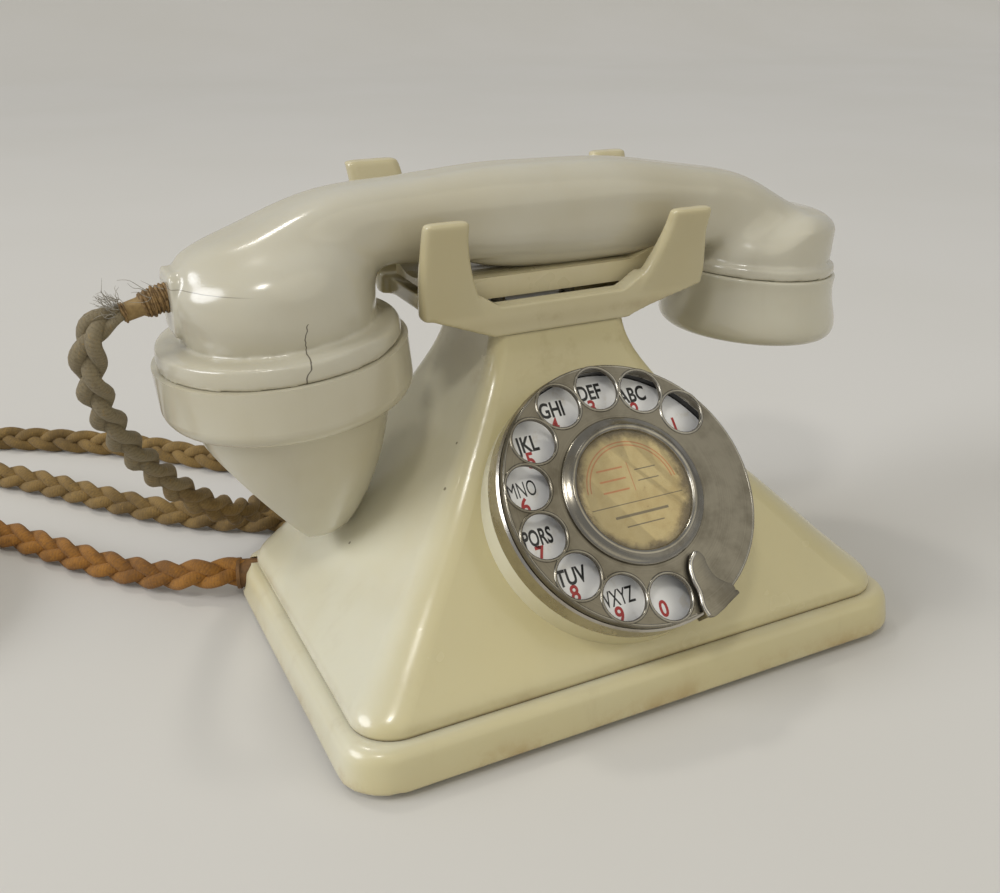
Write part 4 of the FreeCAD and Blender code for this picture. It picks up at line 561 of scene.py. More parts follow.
blade = dial_curve("stop_blade", STOP_BLADE, 0, True)
blade.fill_mode = "BOTH"
blade.extrude = (STOP_HIGH - STOP_LOW) / 2 - STOP_ROUND
blade.bevel_depth, blade.bevel_resolution = STOP_ROUND, 2
lip = dial_curve("stop_lip", STOP_LIP, STOP_HIGH - 0.0001, False)
lip.bevel_depth, lip.bevel_resolution, lip.use_fill_caps = 0.00062, 3, True
stop = bmesh.new()
stop.from_mesh(from_curve(blade, (STOP_LOW + STOP_HIGH) / 2))
STOP_ANGLE = math.radians(293)
root_place = (Matrix.Rotation(STOP_ANGLE, 4, "Z") @ Matrix.Translation((0.0394, 0, -0.0046))
              @ Matrix.Diagonal((0.0013, 0.0090, 0.0120, 1)))
root = bmesh.ops.create_cube(stop, size=1.0, matrix=root_place)["verts"]
bmesh.ops.bevel(stop, geom=list({e for v in root for e in v.link_edges}), offset=0.0003, segments=2,
                profile=0.5, affect="EDGES", material=-1)
finger_stop = finished("finger_stop_blade", set_up(stop, DIAL_TURN), wheel_steel, "base")
stop_edge = bmesh.new()
stop_edge.from_mesh(from_curve(lip))
finished("finger_stop_lip", set_up(stop_edge, DIAL_TURN), bright_plate, "base")
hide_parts("finger_stop")

# NUMBER PLATE
# White vitreous enamel on steel, with black letters and a red figure under each finger hole.
# The print lies upright on the plate, each pair centred on its hole, fired into the glaze.
enamel, tree, skin = new_material("white_enamel")
at = here(tree)
foxed = patches(at, 130.0, 5.0, 0.7, 0.52, 0.78)
fill(skin, {"Base Color": blend_of(foxed, (0.88, 0.875, 0.86, 1), (0.72, 0.67, 0.57, 1)),
            "Roughness": span_of(foxed, 0.0, 1.0, 0.16, 0.34)})
bumped(skin, noise_of(at, 210.0, 2.0), 0.06, 0.0003)
wear("number_plate", enamel)


def printed(name, colour, faded):
    """Fired or printed colour, a little worn through."""
    material, tree, skin = new_material(name)
    at = here(tree)
    thin = patches(at, 900.0, 4.0, 0.5, 0.5, 0.8, 0.0, 0.5)
    fill(skin, {"Base Color": blend_of(thin, (*colour, 1), (*faded, 1)),
                "Roughness": span_of(thin, 0.0, 0.5, 0.35, 0.5)})
    return material


THIN_TYPE = {"MNO": 0.0, "WXYZ": 0.008, "4": 0.010}


def lettering(name, marks, material, body):
    """Words set one by one as flat print in the dial's plane: text, middle, height, width share."""
    tool = bmesh.new()
    for text, (x, y, z), size, narrow in marks:
        curve = bpy.data.curves.new("type", "FONT")
        curve.body = text
        curve.size = size
        curve.align_x, curve.align_y = "CENTER", "CENTER"
        curve.offset = size * THIN_TYPE.get(text, 0.026)
        curve.resolution_u = 4
        flat = from_curve(curve)
        flat.transform(DIAL_TURN @ Matrix.Translation((x, y, z)) @ Matrix.Diagonal((narrow, 1, 1, 1)))
        tool.from_mesh(flat)
        bpy.data.meshes.remove(flat)
    return finished(name, tool, material, body, smooth=False)


off_dial = DIAL_TURN.inverted()
PLATE_FACE = max((off_dial @ vert.co).z for vert in nodes["number_plate"].data.vertices) + 0.00004
TYPE_HIGH = 0.0064
LETTERS = ("", "ABC", "DEF", "GHI", "JKL", "MNO", "PQRS", "TUV", "WXYZ", "")
letter_marks, figure_marks = [], []
for i, letters in enumerate(LETTERS):
    angle = math.radians(HOLE_FIRST + HOLE_STEP * i)
    x, y = HOLE_RING * math.cos(angle), HOLE_RING * math.sin(angle)
    drop = 0.0037 if letters else 0.0021
    figure_marks.append((str((i + 1) % 10), (x, y - drop, PLATE_FACE), TYPE_HIGH, 0.85))
    if letters:
        narrow = 0.58 if len(letters) > 3 or "M" in letters else 0.72
        letter_marks.append((letters, (x + 0.0005, y + 0.0010, PLATE_FACE), TYPE_HIGH, narrow))
fired_black = printed("fired_black", (0.012, 0.012, 0.013), (0.10, 0.095, 0.09))
fired_red = printed("fired_red", (0.42, 0.022, 0.022), (0.50, 0.16, 0.13))
lettering("plate_letters", letter_marks, fired_black, "base")
lettering("plate_figures", figure_marks, fired_red, "base")

# CENTRE CARD
# A disc of card gone brown at its edge, with a printed border and plain rules.
# A clear disc covers it, and the plated ring clamps both to the finger wheel.
card, tree, skin = new_material("aged_card")
at = on_dial(tree)
radius = from_spindle(at)
cloud = patches(at, 110.0, 6.0, 0.7, 0.35, 0.72)
tone = blend_of(cloud, (0.56, 0.44, 0.195, 1), (0.46, 0.335, 0.122, 1))
edge = span_of(sum_of("MULTIPLY_ADD", cloud, 0.0022, radius), 0.0152, 0.0182, 0.0, 0.95)
tone = blend_of(edge, tone, (0.10, 0.064, 0.022, 1))
spots = patches(at, 480.0, 5.0, 0.7, 0.62, 0.76, 0.0, 0.6)
across = parts_of(at)


def ruled(way, level, thick, low, high, colour, onto):
    """A straight printed rule on the card: lying along X or standing along Y, between two ends."""
    along = across[way]
    side = across["Y" if way == "X" else "X"]
    near = span_of(gap_of(side, level), thick, thick * 0.5)
    inside = times(sum_of("GREATER_THAN", along, low), sum_of("LESS_THAN", along, high))
    return blend_of(times(times(near, inside), 0.8), onto, colour)


PRINT_ORANGE, PRINT_BLACK = (0.50, 0.135, 0.028, 1), (0.060, 0.048, 0.032, 1)
for border in (0.0141, 0.0131):
    band = gap_of(radius, border)
    upper = span_of(across["Y"], 0.0012, 0.0016, 0.0, 0.75)
    printed_band = times(span_of(band, 0.00026, 0.00014), upper)
    tone = blend_of(printed_band, tone, PRINT_ORANGE)
for level in (0.0070, 0.0038, 0.0006):
    tone = ruled("X", level, 0.00034, -0.0095, -0.0012, PRINT_ORANGE, tone)
for level in (0.0054, 0.0022):
    tone = ruled("X", level, 0.00022, 0.0022, 0.0090, PRINT_BLACK, tone)
tone = ruled("Y", 0.0005, 0.00016, -0.0004, 0.0080, PRINT_ORANGE, tone)
tone = ruled("X", -0.0034, 0.00018, -0.0146, 0.0146, PRINT_BLACK, tone)
tone = ruled("X", -0.0068, 0.00050, -0.0085, 0.0085, PRINT_BLACK, tone)
tone = ruled("X", -0.0098, 0.00024, -0.0060, 0.0060, PRINT_BLACK, tone)
fill(skin, {"Base Color": blend_of(spots, tone, (0.22, 0.13, 0.05, 1)), "Roughness": 0.7})
bumped(skin, noise_of(at, 1400.0, 4.0), 0.3, 0.0001)
wear("label_card", card)
clear, tree, skin = new_material("clear_disc")
smeared = patches(here(tree), 160.0, 5.0, 0.7, 0.4, 0.8, 0.05, 0.2)
fill(skin, {"Base Color": (0.85, 0.78, 0.60, 1), "Roughness": smeared, "Alpha": 0.10})
wear("label_window", clear)

# HANDSET
# Handle and both bells are one hollow moulding, greyer than the case; the left bell has cracked.
# The mouthpiece with its beak and the waisted ear cap screw on below the bells.
GRIP_STAIN = (0.27, 0.21, 0.12)
grip, tree, skin, tone = moulding("ivory_handset", (0.525, 0.495, 0.395), (0.485, 0.445, 0.33), GRIP_STAIN,
                                  0.05, 0.16)
BELL_X, BELL_Y = -0.0786, 0.019
CRACK_DARK = (0.060, 0.047, 0.034, 1)
CRACK_FOOT, CRACK_TOP, HAIR_HIGH = 0.1017, 0.1105, 0.1174
at = here(tree)
axis = parts_of(at)
round_by = sum_of("ARCTAN2", sum_of("SUBTRACT", axis["X"], BELL_X),
                  sum_of("SUBTRACT", BELL_Y, axis["Y"]))
up_only = lay("ShaderNodeCombineXYZ", {"Z": axis["Z"]}).outputs["Vector"]
wander = noise_of(up_only, 95.0, 3.0, 0.55)
crack_way = sum_of("MULTIPLY_ADD", sum_of("SUBTRACT", axis["Z"], CRACK_FOOT), 6.5, -0.045)
crack_way = sum_of("MULTIPLY_ADD", sum_of("SUBTRACT", wander, 0.5), 0.28, crack_way)
off = gap_of(round_by, crack_way)
on_bell = sum_of("LESS_THAN", axis["X"], -0.05)
on_bell = times(on_bell, sum_of("LESS_THAN", axis["Z"], CRACK_TOP))
crack = times(span_of(off, 0.0085, 0.0030), on_bell)
tone = blend_of(times(crack, 0.85), tone, CRACK_DARK)
hair_at = sum_of("MULTIPLY_ADD", noise_of(at, 60.0, 2.0), 0.0012, HAIR_HIGH)
hairline = span_of(gap_of(axis["Z"], hair_at), 0.00016, 0.00006)
hairline = times(hairline, span_of(round_by, -0.40, -0.75))
tone = blend_of(times(hairline, 0.5), tone, CRACK_DARK)
fill(skin, {"Base Color": tone})

BELL_LEAN = math.radians(4.6)
mouth_foot = Matrix.Translation((BELL_X, BELL_Y, 0.097)) @ Matrix.Rotation(-BELL_LEAN, 4, "Y")
ear_foot = Matrix.Translation((0.0835, BELL_Y, 0.1014)) @ Matrix.Rotation(BELL_LEAN, 4, "Y")
cord_foot = Matrix.Translation((-0.10755, BELL_Y, 0.1145)) @ Matrix.Rotation(math.pi / 2, 4, "Y")
HOLLOWS = ((mouth_foot @ Matrix.Translation((0, 0, 0.0015)), 0.0259, 0.0105),
           (ear_foot @ Matrix.Translation((0, 0, 0.0015)), 0.0234, 0.0115), (cord_foot, 0.0060, 0.010))
handle = eased("handset_handle", "handset", grip, 0.0007, 3, HOLLOWS)
LIP_TOP, LIP_LOWER, LIP_CLEAR, LIP_INSIDE = 0.0092, 0.0074, 0.0150, 0.022
ARC_OUT, ARC_UP, ARC_WIDE, ARC_HIGH, SQUARENESS = 0.0293, 0.00225, 0.0044, 0.00354, 0.6
for vert in handle.data.vertices:
    place = mouth_foot.inverted() @ vert.co
    if 0 < place.z < LIP_CLEAR and math.hypot(place.x, place.y) > LIP_INSIDE:
        if place.z < LIP_TOP:
            place.z *= LIP_LOWER / LIP_TOP
        else:
            place.z = LIP_CLEAR - (LIP_CLEAR - place.z) * (LIP_CLEAR - LIP_LOWER) / (LIP_CLEAR - LIP_TOP)
        reach = math.hypot(place.x, place.y)
        out, up = (reach - ARC_OUT) / ARC_WIDE, (place.z - ARC_UP) / ARC_HIGH
        if out > 0 and up > 0:
            squarer = (max(out, up) / math.hypot(out, up)) ** -SQUARENESS
            place.x *= (ARC_OUT + out * squarer * ARC_WIDE) / reach
            place.y *= (ARC_OUT + out * squarer * ARC_WIDE) / reach
            place.z = ARC_UP + up * squarer * ARC_HIGH
        vert.co = mouth_foot @ place
flow = handle.vertex_groups.new(name="where_the_bells_flow_into_the_handle")
for vert in handle.data.vertices:
    x, y, z = vert.co
    left = ramp(x, -0.034, -0.046) * ramp(x, -0.106, -0.098) * ramp(z, 0.1085, 0.1145)
    right = ramp(x, 0.056, 0.066) * ramp(z, 0.1085, 0.1140)
    under = 0.22 * ramp(x, -0.062, -0.050) * ramp(x, 0.052, 0.042) * ramp(z, 0.1245, 0.1205)
    if left + right + under > 0.01:
        flow.add([vert.index], min(1.0, left + right + under), "REPLACE")
flowing = handle.modifiers.new("flowing_joints", "SMOOTH")
flowing.factor, flowing.iterations, flowing.vertex_group = 0.5, 240, flow.name
handle.data = baked(handle)
handle.modifiers.clear()
BELL_WALL, BELL_WAIST, CROWN_HIGH, CROWN_FLAT, CROWN_BLEND = 0.0256, 0.0135, 0.0058, 0.0185, 0.007
crown_group = handle.vertex_groups.new(name="crown_of_the_ear_bell")
for vert in handle.data.vertices:
    place = ear_foot.inverted() @ vert.co
    share = ramp(place.x, -0.012, 0.006)
    if share > 0 and place.z > 0.004:
        reach = math.hypot(place.x, place.y)
        side = ramp(place.z, 0.0040, 0.0062) * ramp(place.z, 0.0160, 0.0115)
        side *= share * ramp(reach, 0.0210, 0.0235)
        place.x *= 1 + side * (BELL_WALL / reach - 1)
        place.y *= 1 + side * (BELL_WALL / reach - 1)
        out = (math.hypot(place.x, place.y) - CROWN_FLAT) / (BELL_WALL - CROWN_FLAT)
        crown = BELL_WAIST + CROWN_HIGH * math.sqrt(1 - min(1.0, max(0.0, out)) ** 2)
        near = max(0.0, CROWN_BLEND - abs(crown - place.z))
        rise = max(crown, place.z) + near * near / (4 * CROWN_BLEND) - place.z
        weight = share * ramp(place.z, 0.0060, 0.0085)
        place.z += weight * rise
        vert.co = ear_foot @ place
        if weight > 0.01:
            crown_group.add([vert.index], weight, "REPLACE")
eased_crown = handle.modifiers.new("eased_crown", "SMOOTH")
eased_crown.factor, eased_crown.iterations, eased_crown.vertex_group = 0.5, 14, crown_group.name
caps = moulding("ivory_caps", (0.545, 0.515, 0.405), (0.50, 0.455, 0.33), GRIP_STAIN, 0.06, 0.15)[0]
wear("mouthpiece", caps)
CAP_PROFILE = ((7.0, -15.6), (14.0, -16.8), (21.0, -20.0), (24.6, -21.5), (27.0, -21.3), (29.0, -19.9),
               (29.9, -17.6), (29.8, -14.8), (28.9, -11.4), (28.1, -8.0), (27.8, -4.6), (28.0, -1.8),
               (28.25, -0.75), (28.0, -0.15), (27.3, 0.0), (22.6, 0.0), (22.6, -12.6), (7.0, -12.6))
CAP_SLANT = 0.07
cap_tool = spun(CAP_PROFILE, 120)
for vert in cap_tool.verts:
    vert.co.x -= CAP_SLANT * vert.co.z * ramp(math.hypot(vert.co.x, vert.co.y), 0.0228, 0.0275)
ear_cap = finished("ear_cap_waisted", set_up(cap_tool, ear_foot), caps, "handset")
rounder = ear_cap.modifiers.new("rounder", "SUBSURF")
rounder.levels, rounder.render_levels = 1, 1
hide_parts("ear_cap")
wear("transmitter_inset", grained("capsule_black", (0.022, 0.021, 0.020), (0.05, 0.047, 0.043), 300.0, 0.42))
wear("receiver_capsule", nodes["transmitter_inset"].data.materials[0])

# CORD WHIPPING
# Waxed thread bound round the cord where it enters the handset, over tan tape at the cord's side.
# It is wound by hand: uneven turns over a slim core, with grey cut ends that stand out from the last.
WHIP_WAY = Vector((-math.cos(math.radians(15)), 0, -math.sin(math.radians(15))))
WHIP_END = Vector((-0.1192, 0.019, 0.1114))
WHIP_LONG = 0.012
WHIP_PROFILE = ((0, -2.0), (3.0, -2.0), (3.1, 0.0), (2.95, 6.4), (2.55, 7.0), (2.45, 11.6),
                (2.2, 12.0), (0, 12.0))
WHIP_TURN = (Matrix.Translation(WHIP_END - WHIP_WAY * WHIP_LONG)
             @ WHIP_WAY.to_track_quat("Z", "Y").to_matrix().to_4x4())
whip_tan = grained("whip_tape", (0.29, 0.19, 0.066), (0.20, 0.125, 0.040), 420.0, 0.62)
whip_brown = grained("whip_thread", (0.27, 0.165, 0.060), (0.105, 0.060, 0.020), 700.0, 0.7)
core = set_up(spun(WHIP_PROFILE, 40, closed=False), WHIP_TURN)
whip_core = finished("whipping_tape", core, whip_tan, "handset")
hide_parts("cord_whipping")


def thread_curve(name, thick, rounding, fineness):
    """An empty curve for round threads of one thickness."""
    curve = bpy.data.curves.new(name, "CURVE")
    curve.dimensions = "3D"
    curve.bevel_depth, curve.bevel_resolution, curve.resolution_u = thick, rounding, fineness
    return curve


def thread_into(curve, places, thinner=0.0):
    """Adds a smooth NURBS line with these places as its controls, thinner from one to the next."""
    line = curve.splines.new("NURBS")
    line.points.add(len(places) - 1)
    for k, place in enumerate(places):
        line.points[k].co = (*place, 1)
        line.points[k].radius = 1.0 - thinner * k
    line.order_u = 3
    line.use_endpoint_u = True


def wound(name, layers, material, body, seed):
    """Thread wound round the whipping's core in layers: from, to, turns, lift off the core, thickness."""
    chance = random.Random(seed)
    tool = bmesh.new()
    for low, high, rounds, lift, thick in layers:
        curve = thread_curve(name, thick, 2, 2)
        curve.use_fill_caps = True
        steps = int(abs(rounds) * 16)
        places = []
        for k in range(steps + 1):
            along = low + (high - low) * k / steps + chance.uniform(-0.12, 0.12)
            radius = 3.1 - 0.05 * along if along < 6.7 else 2.5
            radius += lift + chance.uniform(-0.05, 0.08)
            turn = 2 * math.pi * rounds * k / steps
            places.append((radius * math.cos(turn) / 1000, radius * math.sin(turn) / 1000, along / 1000))
        thread_into(curve, places)
        tool.from_mesh(from_curve(curve))
    tool.transform(WHIP_TURN)
    return finished(name, tool, material, body)


WHIP_LAYERS = ((-0.8, 6.4, 9.5, 0.15, 0.00042), (6.2, 0.2, 5.5, 0.55, 0.00034),
               (0.4, 5.2, -1.5, 0.95, 0.00026), (10.9, 11.8, 1.6, 0.1, 0.00030))
wound("whipping_thread", WHIP_LAYERS, whip_brown, "handset", 11)
loose_grey = grained("loose_cotton", (0.30, 0.275, 0.23), (0.42, 0.39, 0.335), 900.0, 0.85)


def frayed(name, root, ways, reach, count, seed, body):
    """A tuft of loose cotton ends: thin bent hairs that leave one place in spread directions."""
    chance = random.Random(seed)
    curve = thread_curve(name, 0.00011, 0, 3)
    for _ in range(count):
        way = Vector(chance.choice(ways)) + Vector([chance.uniform(-0.5, 0.5) for _ in range(3)])
        start = Vector(root) + Vector([chance.uniform(-0.0022, 0.0022) for _ in range(3)])
        length = reach * chance.uniform(0.4, 1.0)
        places = []
        for k in range(4):
            drift = Vector([chance.uniform(-0.25, 0.25) for _ in range(3)]) * length * k / 3
            places.append(start + way.normalized() * length * k / 3 + drift)
        thread_into(curve, places, 0.22)
    tool = bmesh.new()
    tool.from_mesh(from_curve(curve))
    return finished(name, tool, loose_grey, body)


frayed("whipping_frays", WHIP_END + Vector((-0.001, 0, 0.0015)), ((-0.8, -0.2, 0.7), (-0.5, -0.4, 0.5)),
       0.0065, 60, 5, "handset")
frayed("whipping_thread_ends", WHIP_END - WHIP_WAY * 0.009 + Vector((0, -0.001, 0.0025)),
       ((-1.0, -0.3, 0.35), (-1.0, -0.2, 0.1)), 0.0095, 5, 9, "handset")

# PLAITED CORDS
# Each cord is three cotton-covered strands plaited flat, limp with age and darkened by handling.
# The handset's hangs from the whipping and enters the base at the back; the line cord leaves at the left.
DROP = ((-119.19, 19, 111.39), (-124.6, 19, 110), (-128.2, 19.3, 105.2), (-129.2, 20.5, 97.4),
        (-128.2, 24.4, 88), (-124.9, 31, 76), (-119.4, 38.8, 63.8), (-112.2, 46.6, 51.7))
LAY = ((-104.2, 54.6, 39.5), (-93, 63, 28), (-82, 73.5, 19.3), (-73, 85.5, 16.2), (-64.5, 97.5, 14.8),
       (-57.6, 108.5, 11.2), (-54, 119.5, 7.4), (-54.2, 131, 5), (-59.5, 141.5, 4.6), (-70, 150.5, 4.6),
       (-83, 163, 4.6), (-98, 180.5, 4.6), (-117, 196, 4.6), (-137, 209.8, 4.6), (-157, 222.2, 4.6),
       (-177, 236.3, 4.6), (-189.3, 243.7, 4.6), (-204.1, 245, 4.6), (-217.7, 239.2, 4.6),
       (-226.9, 227.6, 4.6), (-229.5, 213, 4.6), (-224.8, 198.9, 4.6), (-214.1, 188.8, 4.6),
       (-201.5, 185.6, 4.6), (-187, 187, 4.6), (-173.5, 188.8, 4.6), (-161, 184, 4.6),
       (-150, 173, 4.6), (-138.5, 159, 4.6), (-123, 139, 4.6),
       (-106.5, 119.5, 4.6), (-91, 105.8, 4.6), (-75.5, 95.5, 4.6), (-60, 88.5, 4.6), (-47.5, 85.3, 5.4),
       (-39, 79.5, 7.9), (-36, 72.5, 8.8), (-36, 64.1, 8.8), (-36, 58.5, 8.8))
RUN = ((-86.5, 51.6, 8.8), (-92.66, 53.84, 8.8), (-103, 57.6, 8.8), (-113.5, 67, 5.8), (-124, 79, 4.6),
       (-134.5, 91.5, 4.6), (-144.5, 105.5, 4.6), (-155, 120.5, 4.6), (-168, 135.5, 4.6))


def spline_points(points):
    """The smooth line through a cord's route: a NURBS spline with the route's points as its controls."""
    curve = thread_curve("route", 0.0, 0, 16)
    thread_into(curve, [tuple(part / 1000 for part in point) for point in points])
    return [vert.co.copy() for vert in from_curve(curve).vertices]


def even_steps(line, step):
    """The same line with points at equal distances, and the distance at each."""
    far = [0.0]
    for first, second in zip(line, line[1:]):
        far.append(far[-1] + (second - first).length)
    count = max(8, round(far[-1] / step))
    places, k = [], 0
    for i in range(count + 1):
        want = far[-1] * i / count
        while k < len(far) - 2 and far[k + 1] < want:
            k += 1
        share = (want - far[k]) / max(far[k + 1] - far[k], 1e-9)
        places.append(line[k].lerp(line[k + 1], min(1.0, share)))
    return places, far[-1]


PLAIT_PITCH, PLAIT_SIDE, PLAIT_RISE, PLAIT_LIFT, PLAIT_STEP = 0.0345, 0.0028, 0.00155, 0.0005, 0.0014
STRAND_WIDE, STRAND_THICK, STRAND_SIDES = 0.00225, 0.00195, 14
PLAIT_FACE = Vector((-0.40, -0.74, 0.54))


def plaited(name, line, material, slim_start=1.0):
    """Three strands woven over and under each other along a line, the flat side tipped to the front."""
    places, length = even_steps(line, PLAIT_STEP)
    count = len(places)
    ways = [(places[min(i + 1, count - 1)] - places[max(i - 1, 0)]).normalized() for i in range(count)]
    side = ways[0].cross(PLAIT_FACE).normalized()
    sides = []
    for way in ways:
        side = (side - way * side.dot(way)).normalized()
        level = way.cross(PLAIT_FACE)
        pull = 0.10 * level.length
        if level.dot(side) < 0:
            level.negate()
        side = side.lerp(level.normalized(), pull).normalized()
        sides.append(side.copy())
    verts, faces, yarn = [], [], []
    for strand in range(3):
        rows = []
        for i, (place, way, side) in enumerate(zip(places, ways, sides)):
            far = length * i / (count - 1)
            turn = 2 * math.pi * (far / PLAIT_PITCH + strand / 3)
            over = side.cross(way)
            full = slim_start + (1 - slim_start) * ramp(far, 0.0, 0.012)
            weave = side * (PLAIT_SIDE * math.sin(turn)) + over * (PLAIT_RISE * math.sin(2 * turn))
            rows.append((place + weave * full + Vector((0, 0, PLAIT_LIFT)), over, far, full))
        for i, (middle, over, far, full) in enumerate(rows):
            ahead = (rows[min(i + 1, count - 1)][0] - rows[max(i - 1, 0)][0]).normalized()
            across = over.cross(ahead).normalized()
            lift = ahead.cross(across).normalized()
            for k in range(STRAND_SIDES):
                turn = 2 * math.pi * k / STRAND_SIDES
                ring = across * (STRAND_WIDE * math.cos(turn)) + lift * (STRAND_THICK * math.sin(turn))
                verts.append(middle + ring * full)
                yarn.append((far, math.cos(turn), math.sin(turn)))
        first = strand * count * STRAND_SIDES
        for i in range(count - 1):
            for k in range(STRAND_SIDES):
                a = first + i * STRAND_SIDES + k
                b = first + i * STRAND_SIDES + (k + 1) % STRAND_SIDES
                faces.append((a, a + STRAND_SIDES, b + STRAND_SIDES, b))
        for i in (0, count - 1):
            start = first + i * STRAND_SIDES
            ring = range(start, start + STRAND_SIDES)
            faces.append(tuple(ring) if i == 0 else tuple(reversed(ring)))
    mesh = bpy.data.meshes.new("plait")
    mesh.from_pydata([tuple(v) for v in verts], [], faces)
    wrapped = mesh.attributes.new("yarn", "FLOAT_VECTOR", "POINT")
    wrapped.data.foreach_set("vector", [x for v in yarn for x in v])
    tool = bmesh.new()
    tool.from_mesh(mesh)
    bpy.data.meshes.remove(mesh)
    bmesh.ops.recalc_face_normals(tool, faces=tool.faces)
    return finished(name, tool, material), places, length


def cotton(name, colour, dark, start_tone, start_until):
    """Braided cotton on a strand: crossed yarns, painted shade in the gaps between them and on sunken
    fibres, painted highlights on raised fibres, dirt in patches, another tone at the start.
    """
    material, tree, skin = new_material(name)
    yarn = lay("ShaderNodeAttribute", tree=tree, attribute_name="yarn")
    parts = parts_of(yarn.outputs["Vector"])
    turn = sum_of("ARCTAN2", parts["Z"], parts["Y"])
    far = parts["X"]
    at = here(tree)
    drift = sum_of("MULTIPLY_ADD", noise_of(at, 420.0, 3.0), 2.4, times(far, 7800.0))
    weave = sum_of("SINE", sum_of("MULTIPLY_ADD", turn, 3.0, drift))
    fibre_noise = noise_of(at, 1050.0, 5.0, 0.8)
    patch = patches(at, 70.0, 5.0, 0.65, 0.36, 0.68)
    tone = blend_of(patch, (*colour, 1), (*dark, 1))
    early = sum_of("MULTIPLY_ADD", sum_of("SUBTRACT", patch, 0.5), 0.03, far)
    tone = blend_of(span_of(early, start_until, start_until * 0.45), tone, (*start_tone, 1))
    # Painted shade in the gaps between the crossed yarns.
    gap_shade = span_of(weave, 0.2, -0.9, 0.0, 0.16)
    grubby = patches(at, 650.0, 5.0, 0.75, 0.5, 0.75, 0.0, 0.5)
    # Painted shade on sunken fibres and painted highlights on raised ones, following the same noise as the
    # relief.
    sunken_shade = span_of(fibre_noise, 0.48, 0.30, 0.0, 0.65)
    raised = span_of(fibre_noise, 0.54, 0.72, 0.0, 0.6)
    for share, shade in ((gap_shade, 0.4), (grubby, 0.6), (sunken_shade, 0.45)):
        tone = blend_of(share, tone, (*(part * shade for part in dark), 1))
    # Painted highlight: raised fibres are lighter.
    tone = blend_of(raised, tone, (colour[0] * 1.5, colour[1] * 1.5, colour[2] * 1.6, 1))
    rise = sum_of("MULTIPLY_ADD", fibre_noise, 1.6, times(weave, 0.12))
    bumped(skin, rise, 0.7, 0.0003)
    fill(skin, {"Base Color": tone, "Roughness": span_of(fibre_noise, 0.3, 0.7, 0.72, 0.92),
                "Sheen Weight": 0.06, "Sheen Roughness": 0.5})
    return material


hand_cotton = cotton("olive_cotton", (0.265, 0.165, 0.046), (0.145, 0.088, 0.023), (0.215, 0.175, 0.102),
                     0.105)
hand_line = spline_points(DROP + LAY)
hand_cord, hand_path, hand_length = plaited("handset_cord", hand_line, hand_cotton, 0.55)
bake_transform(hand_cord)
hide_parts("handset_cord_drop", "handset_cord_lay")

# LINE CORD AND ITS COIL
# The same plait in a redder brown. Its spare length lies in a neat two-layer coil held by a tape,
# and it ends in a small brown terminal block that is screwed to the wall in use.
RING_AT, RING_SIZE, COIL_STEP, LAYER, LYING = (-231.0, 98.0), 102.0, 10.4, 9.7, 4.6
TURNS, TURN_STEPS, COIL_START = 4, 16, math.radians(62)


def coil_points():
    """The coil's turns: two inwards on the table, a rise, and two outwards on top."""
    found = []
    for i in range(TURN_STEPS * TURNS + 1):
        turn = i / TURN_STEPS
        radius = RING_SIZE / 2 + COIL_STEP - COIL_STEP * min(turn, 2.0) + COIL_STEP * max(0.0, turn - 2.5)
        climb = min(max(turn - 2.0, 0.0), 0.5) * 2
        angle = COIL_START + 2 * math.pi * turn
        found.append((RING_AT[0] + radius * math.cos(angle), RING_AT[1] + radius * math.sin(angle),
                      LYING + LAYER * climb))
    return found


turns = coil_points()
TAIL_WAY = Vector((-0.8688, 0.4952, 0))
tail_start = Vector(turns[-1]) + TAIL_WAY * 8.6
tail = [tuple(tail_start + TAIL_WAY * far + Vector((0, 0, rise)))
        for far, rise in ((0, 0), (14, 0), (30, -4.0), (46, -4.0))]
LINE_TONE = (0.345, 0.150, 0.018)
line_cotton = cotton("orange_cotton", LINE_TONE, (0.180, 0.074, 0.008), LINE_TONE, 0.001)
line_line = spline_points(RUN + tuple(turns) + tuple(tail))
line_cord, line_path, line_length = plaited("line_cord", line_line, line_cotton)
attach(line_cord, "base")
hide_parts("line_cord_run", "line_cord_coil", "line_cord_tail")
block_brown = grained("block_brown", (0.085, 0.040, 0.020), (0.050, 0.023, 0.012), 190.0, 0.32)
for name in ("terminal_base", "terminal_cover"):
    wear(name, block_brown)
wear("terminal_cover_screw", brass)

TIE_AT, TIE_MIDDLE, TIE_HALF, TIE_LOW, TIE_HIGH = math.radians(242), 0.0484, 0.0146, 0.0003, 0.0205
TIE_WIDE, TIE_THICK, TIE_STEPS = 0.0075, 0.0005, 48
tape = bmesh.new()
loop = []
for i in range(TIE_STEPS):
    turn = 2 * math.pi * i / TIE_STEPS
    across = math.copysign(abs(math.cos(turn)) ** 0.55, math.cos(turn))
    upward = math.copysign(abs(math.sin(turn)) ** 0.55, math.sin(turn))
    loop.append(tape.verts.new((TIE_MIDDLE + TIE_HALF * across, -TIE_WIDE / 2,
                                (TIE_LOW + TIE_HIGH) / 2 + (TIE_HIGH - TIE_LOW) / 2 * upward)))
hoop = [tape.edges.new(pair) for pair in zip(loop, loop[1:] + loop[:1])]
wide = bmesh.ops.extrude_edge_only(tape, edges=hoop)["geom"]
bmesh.ops.translate(tape, vec=(0, TIE_WIDE, 0), verts=[g for g in wide if isinstance(g, bmesh.types.BMVert)])
bmesh.ops.recalc_face_normals(tape, faces=tape.faces)
bmesh.ops.solidify(tape, geom=tape.faces[:], thickness=TIE_THICK)
bmesh.ops.recalc_face_normals(tape, faces=tape.faces)
tape.transform(Matrix.Translation((RING_AT[0] / 1000, RING_AT[1] / 1000, 0))
               @ Matrix.Rotation(TIE_AT, 4, "Z"))
tie_tape = grained("tie_tape", (0.40, 0.36, 0.27), (0.30, 0.265, 0.19), 800.0, 0.85)
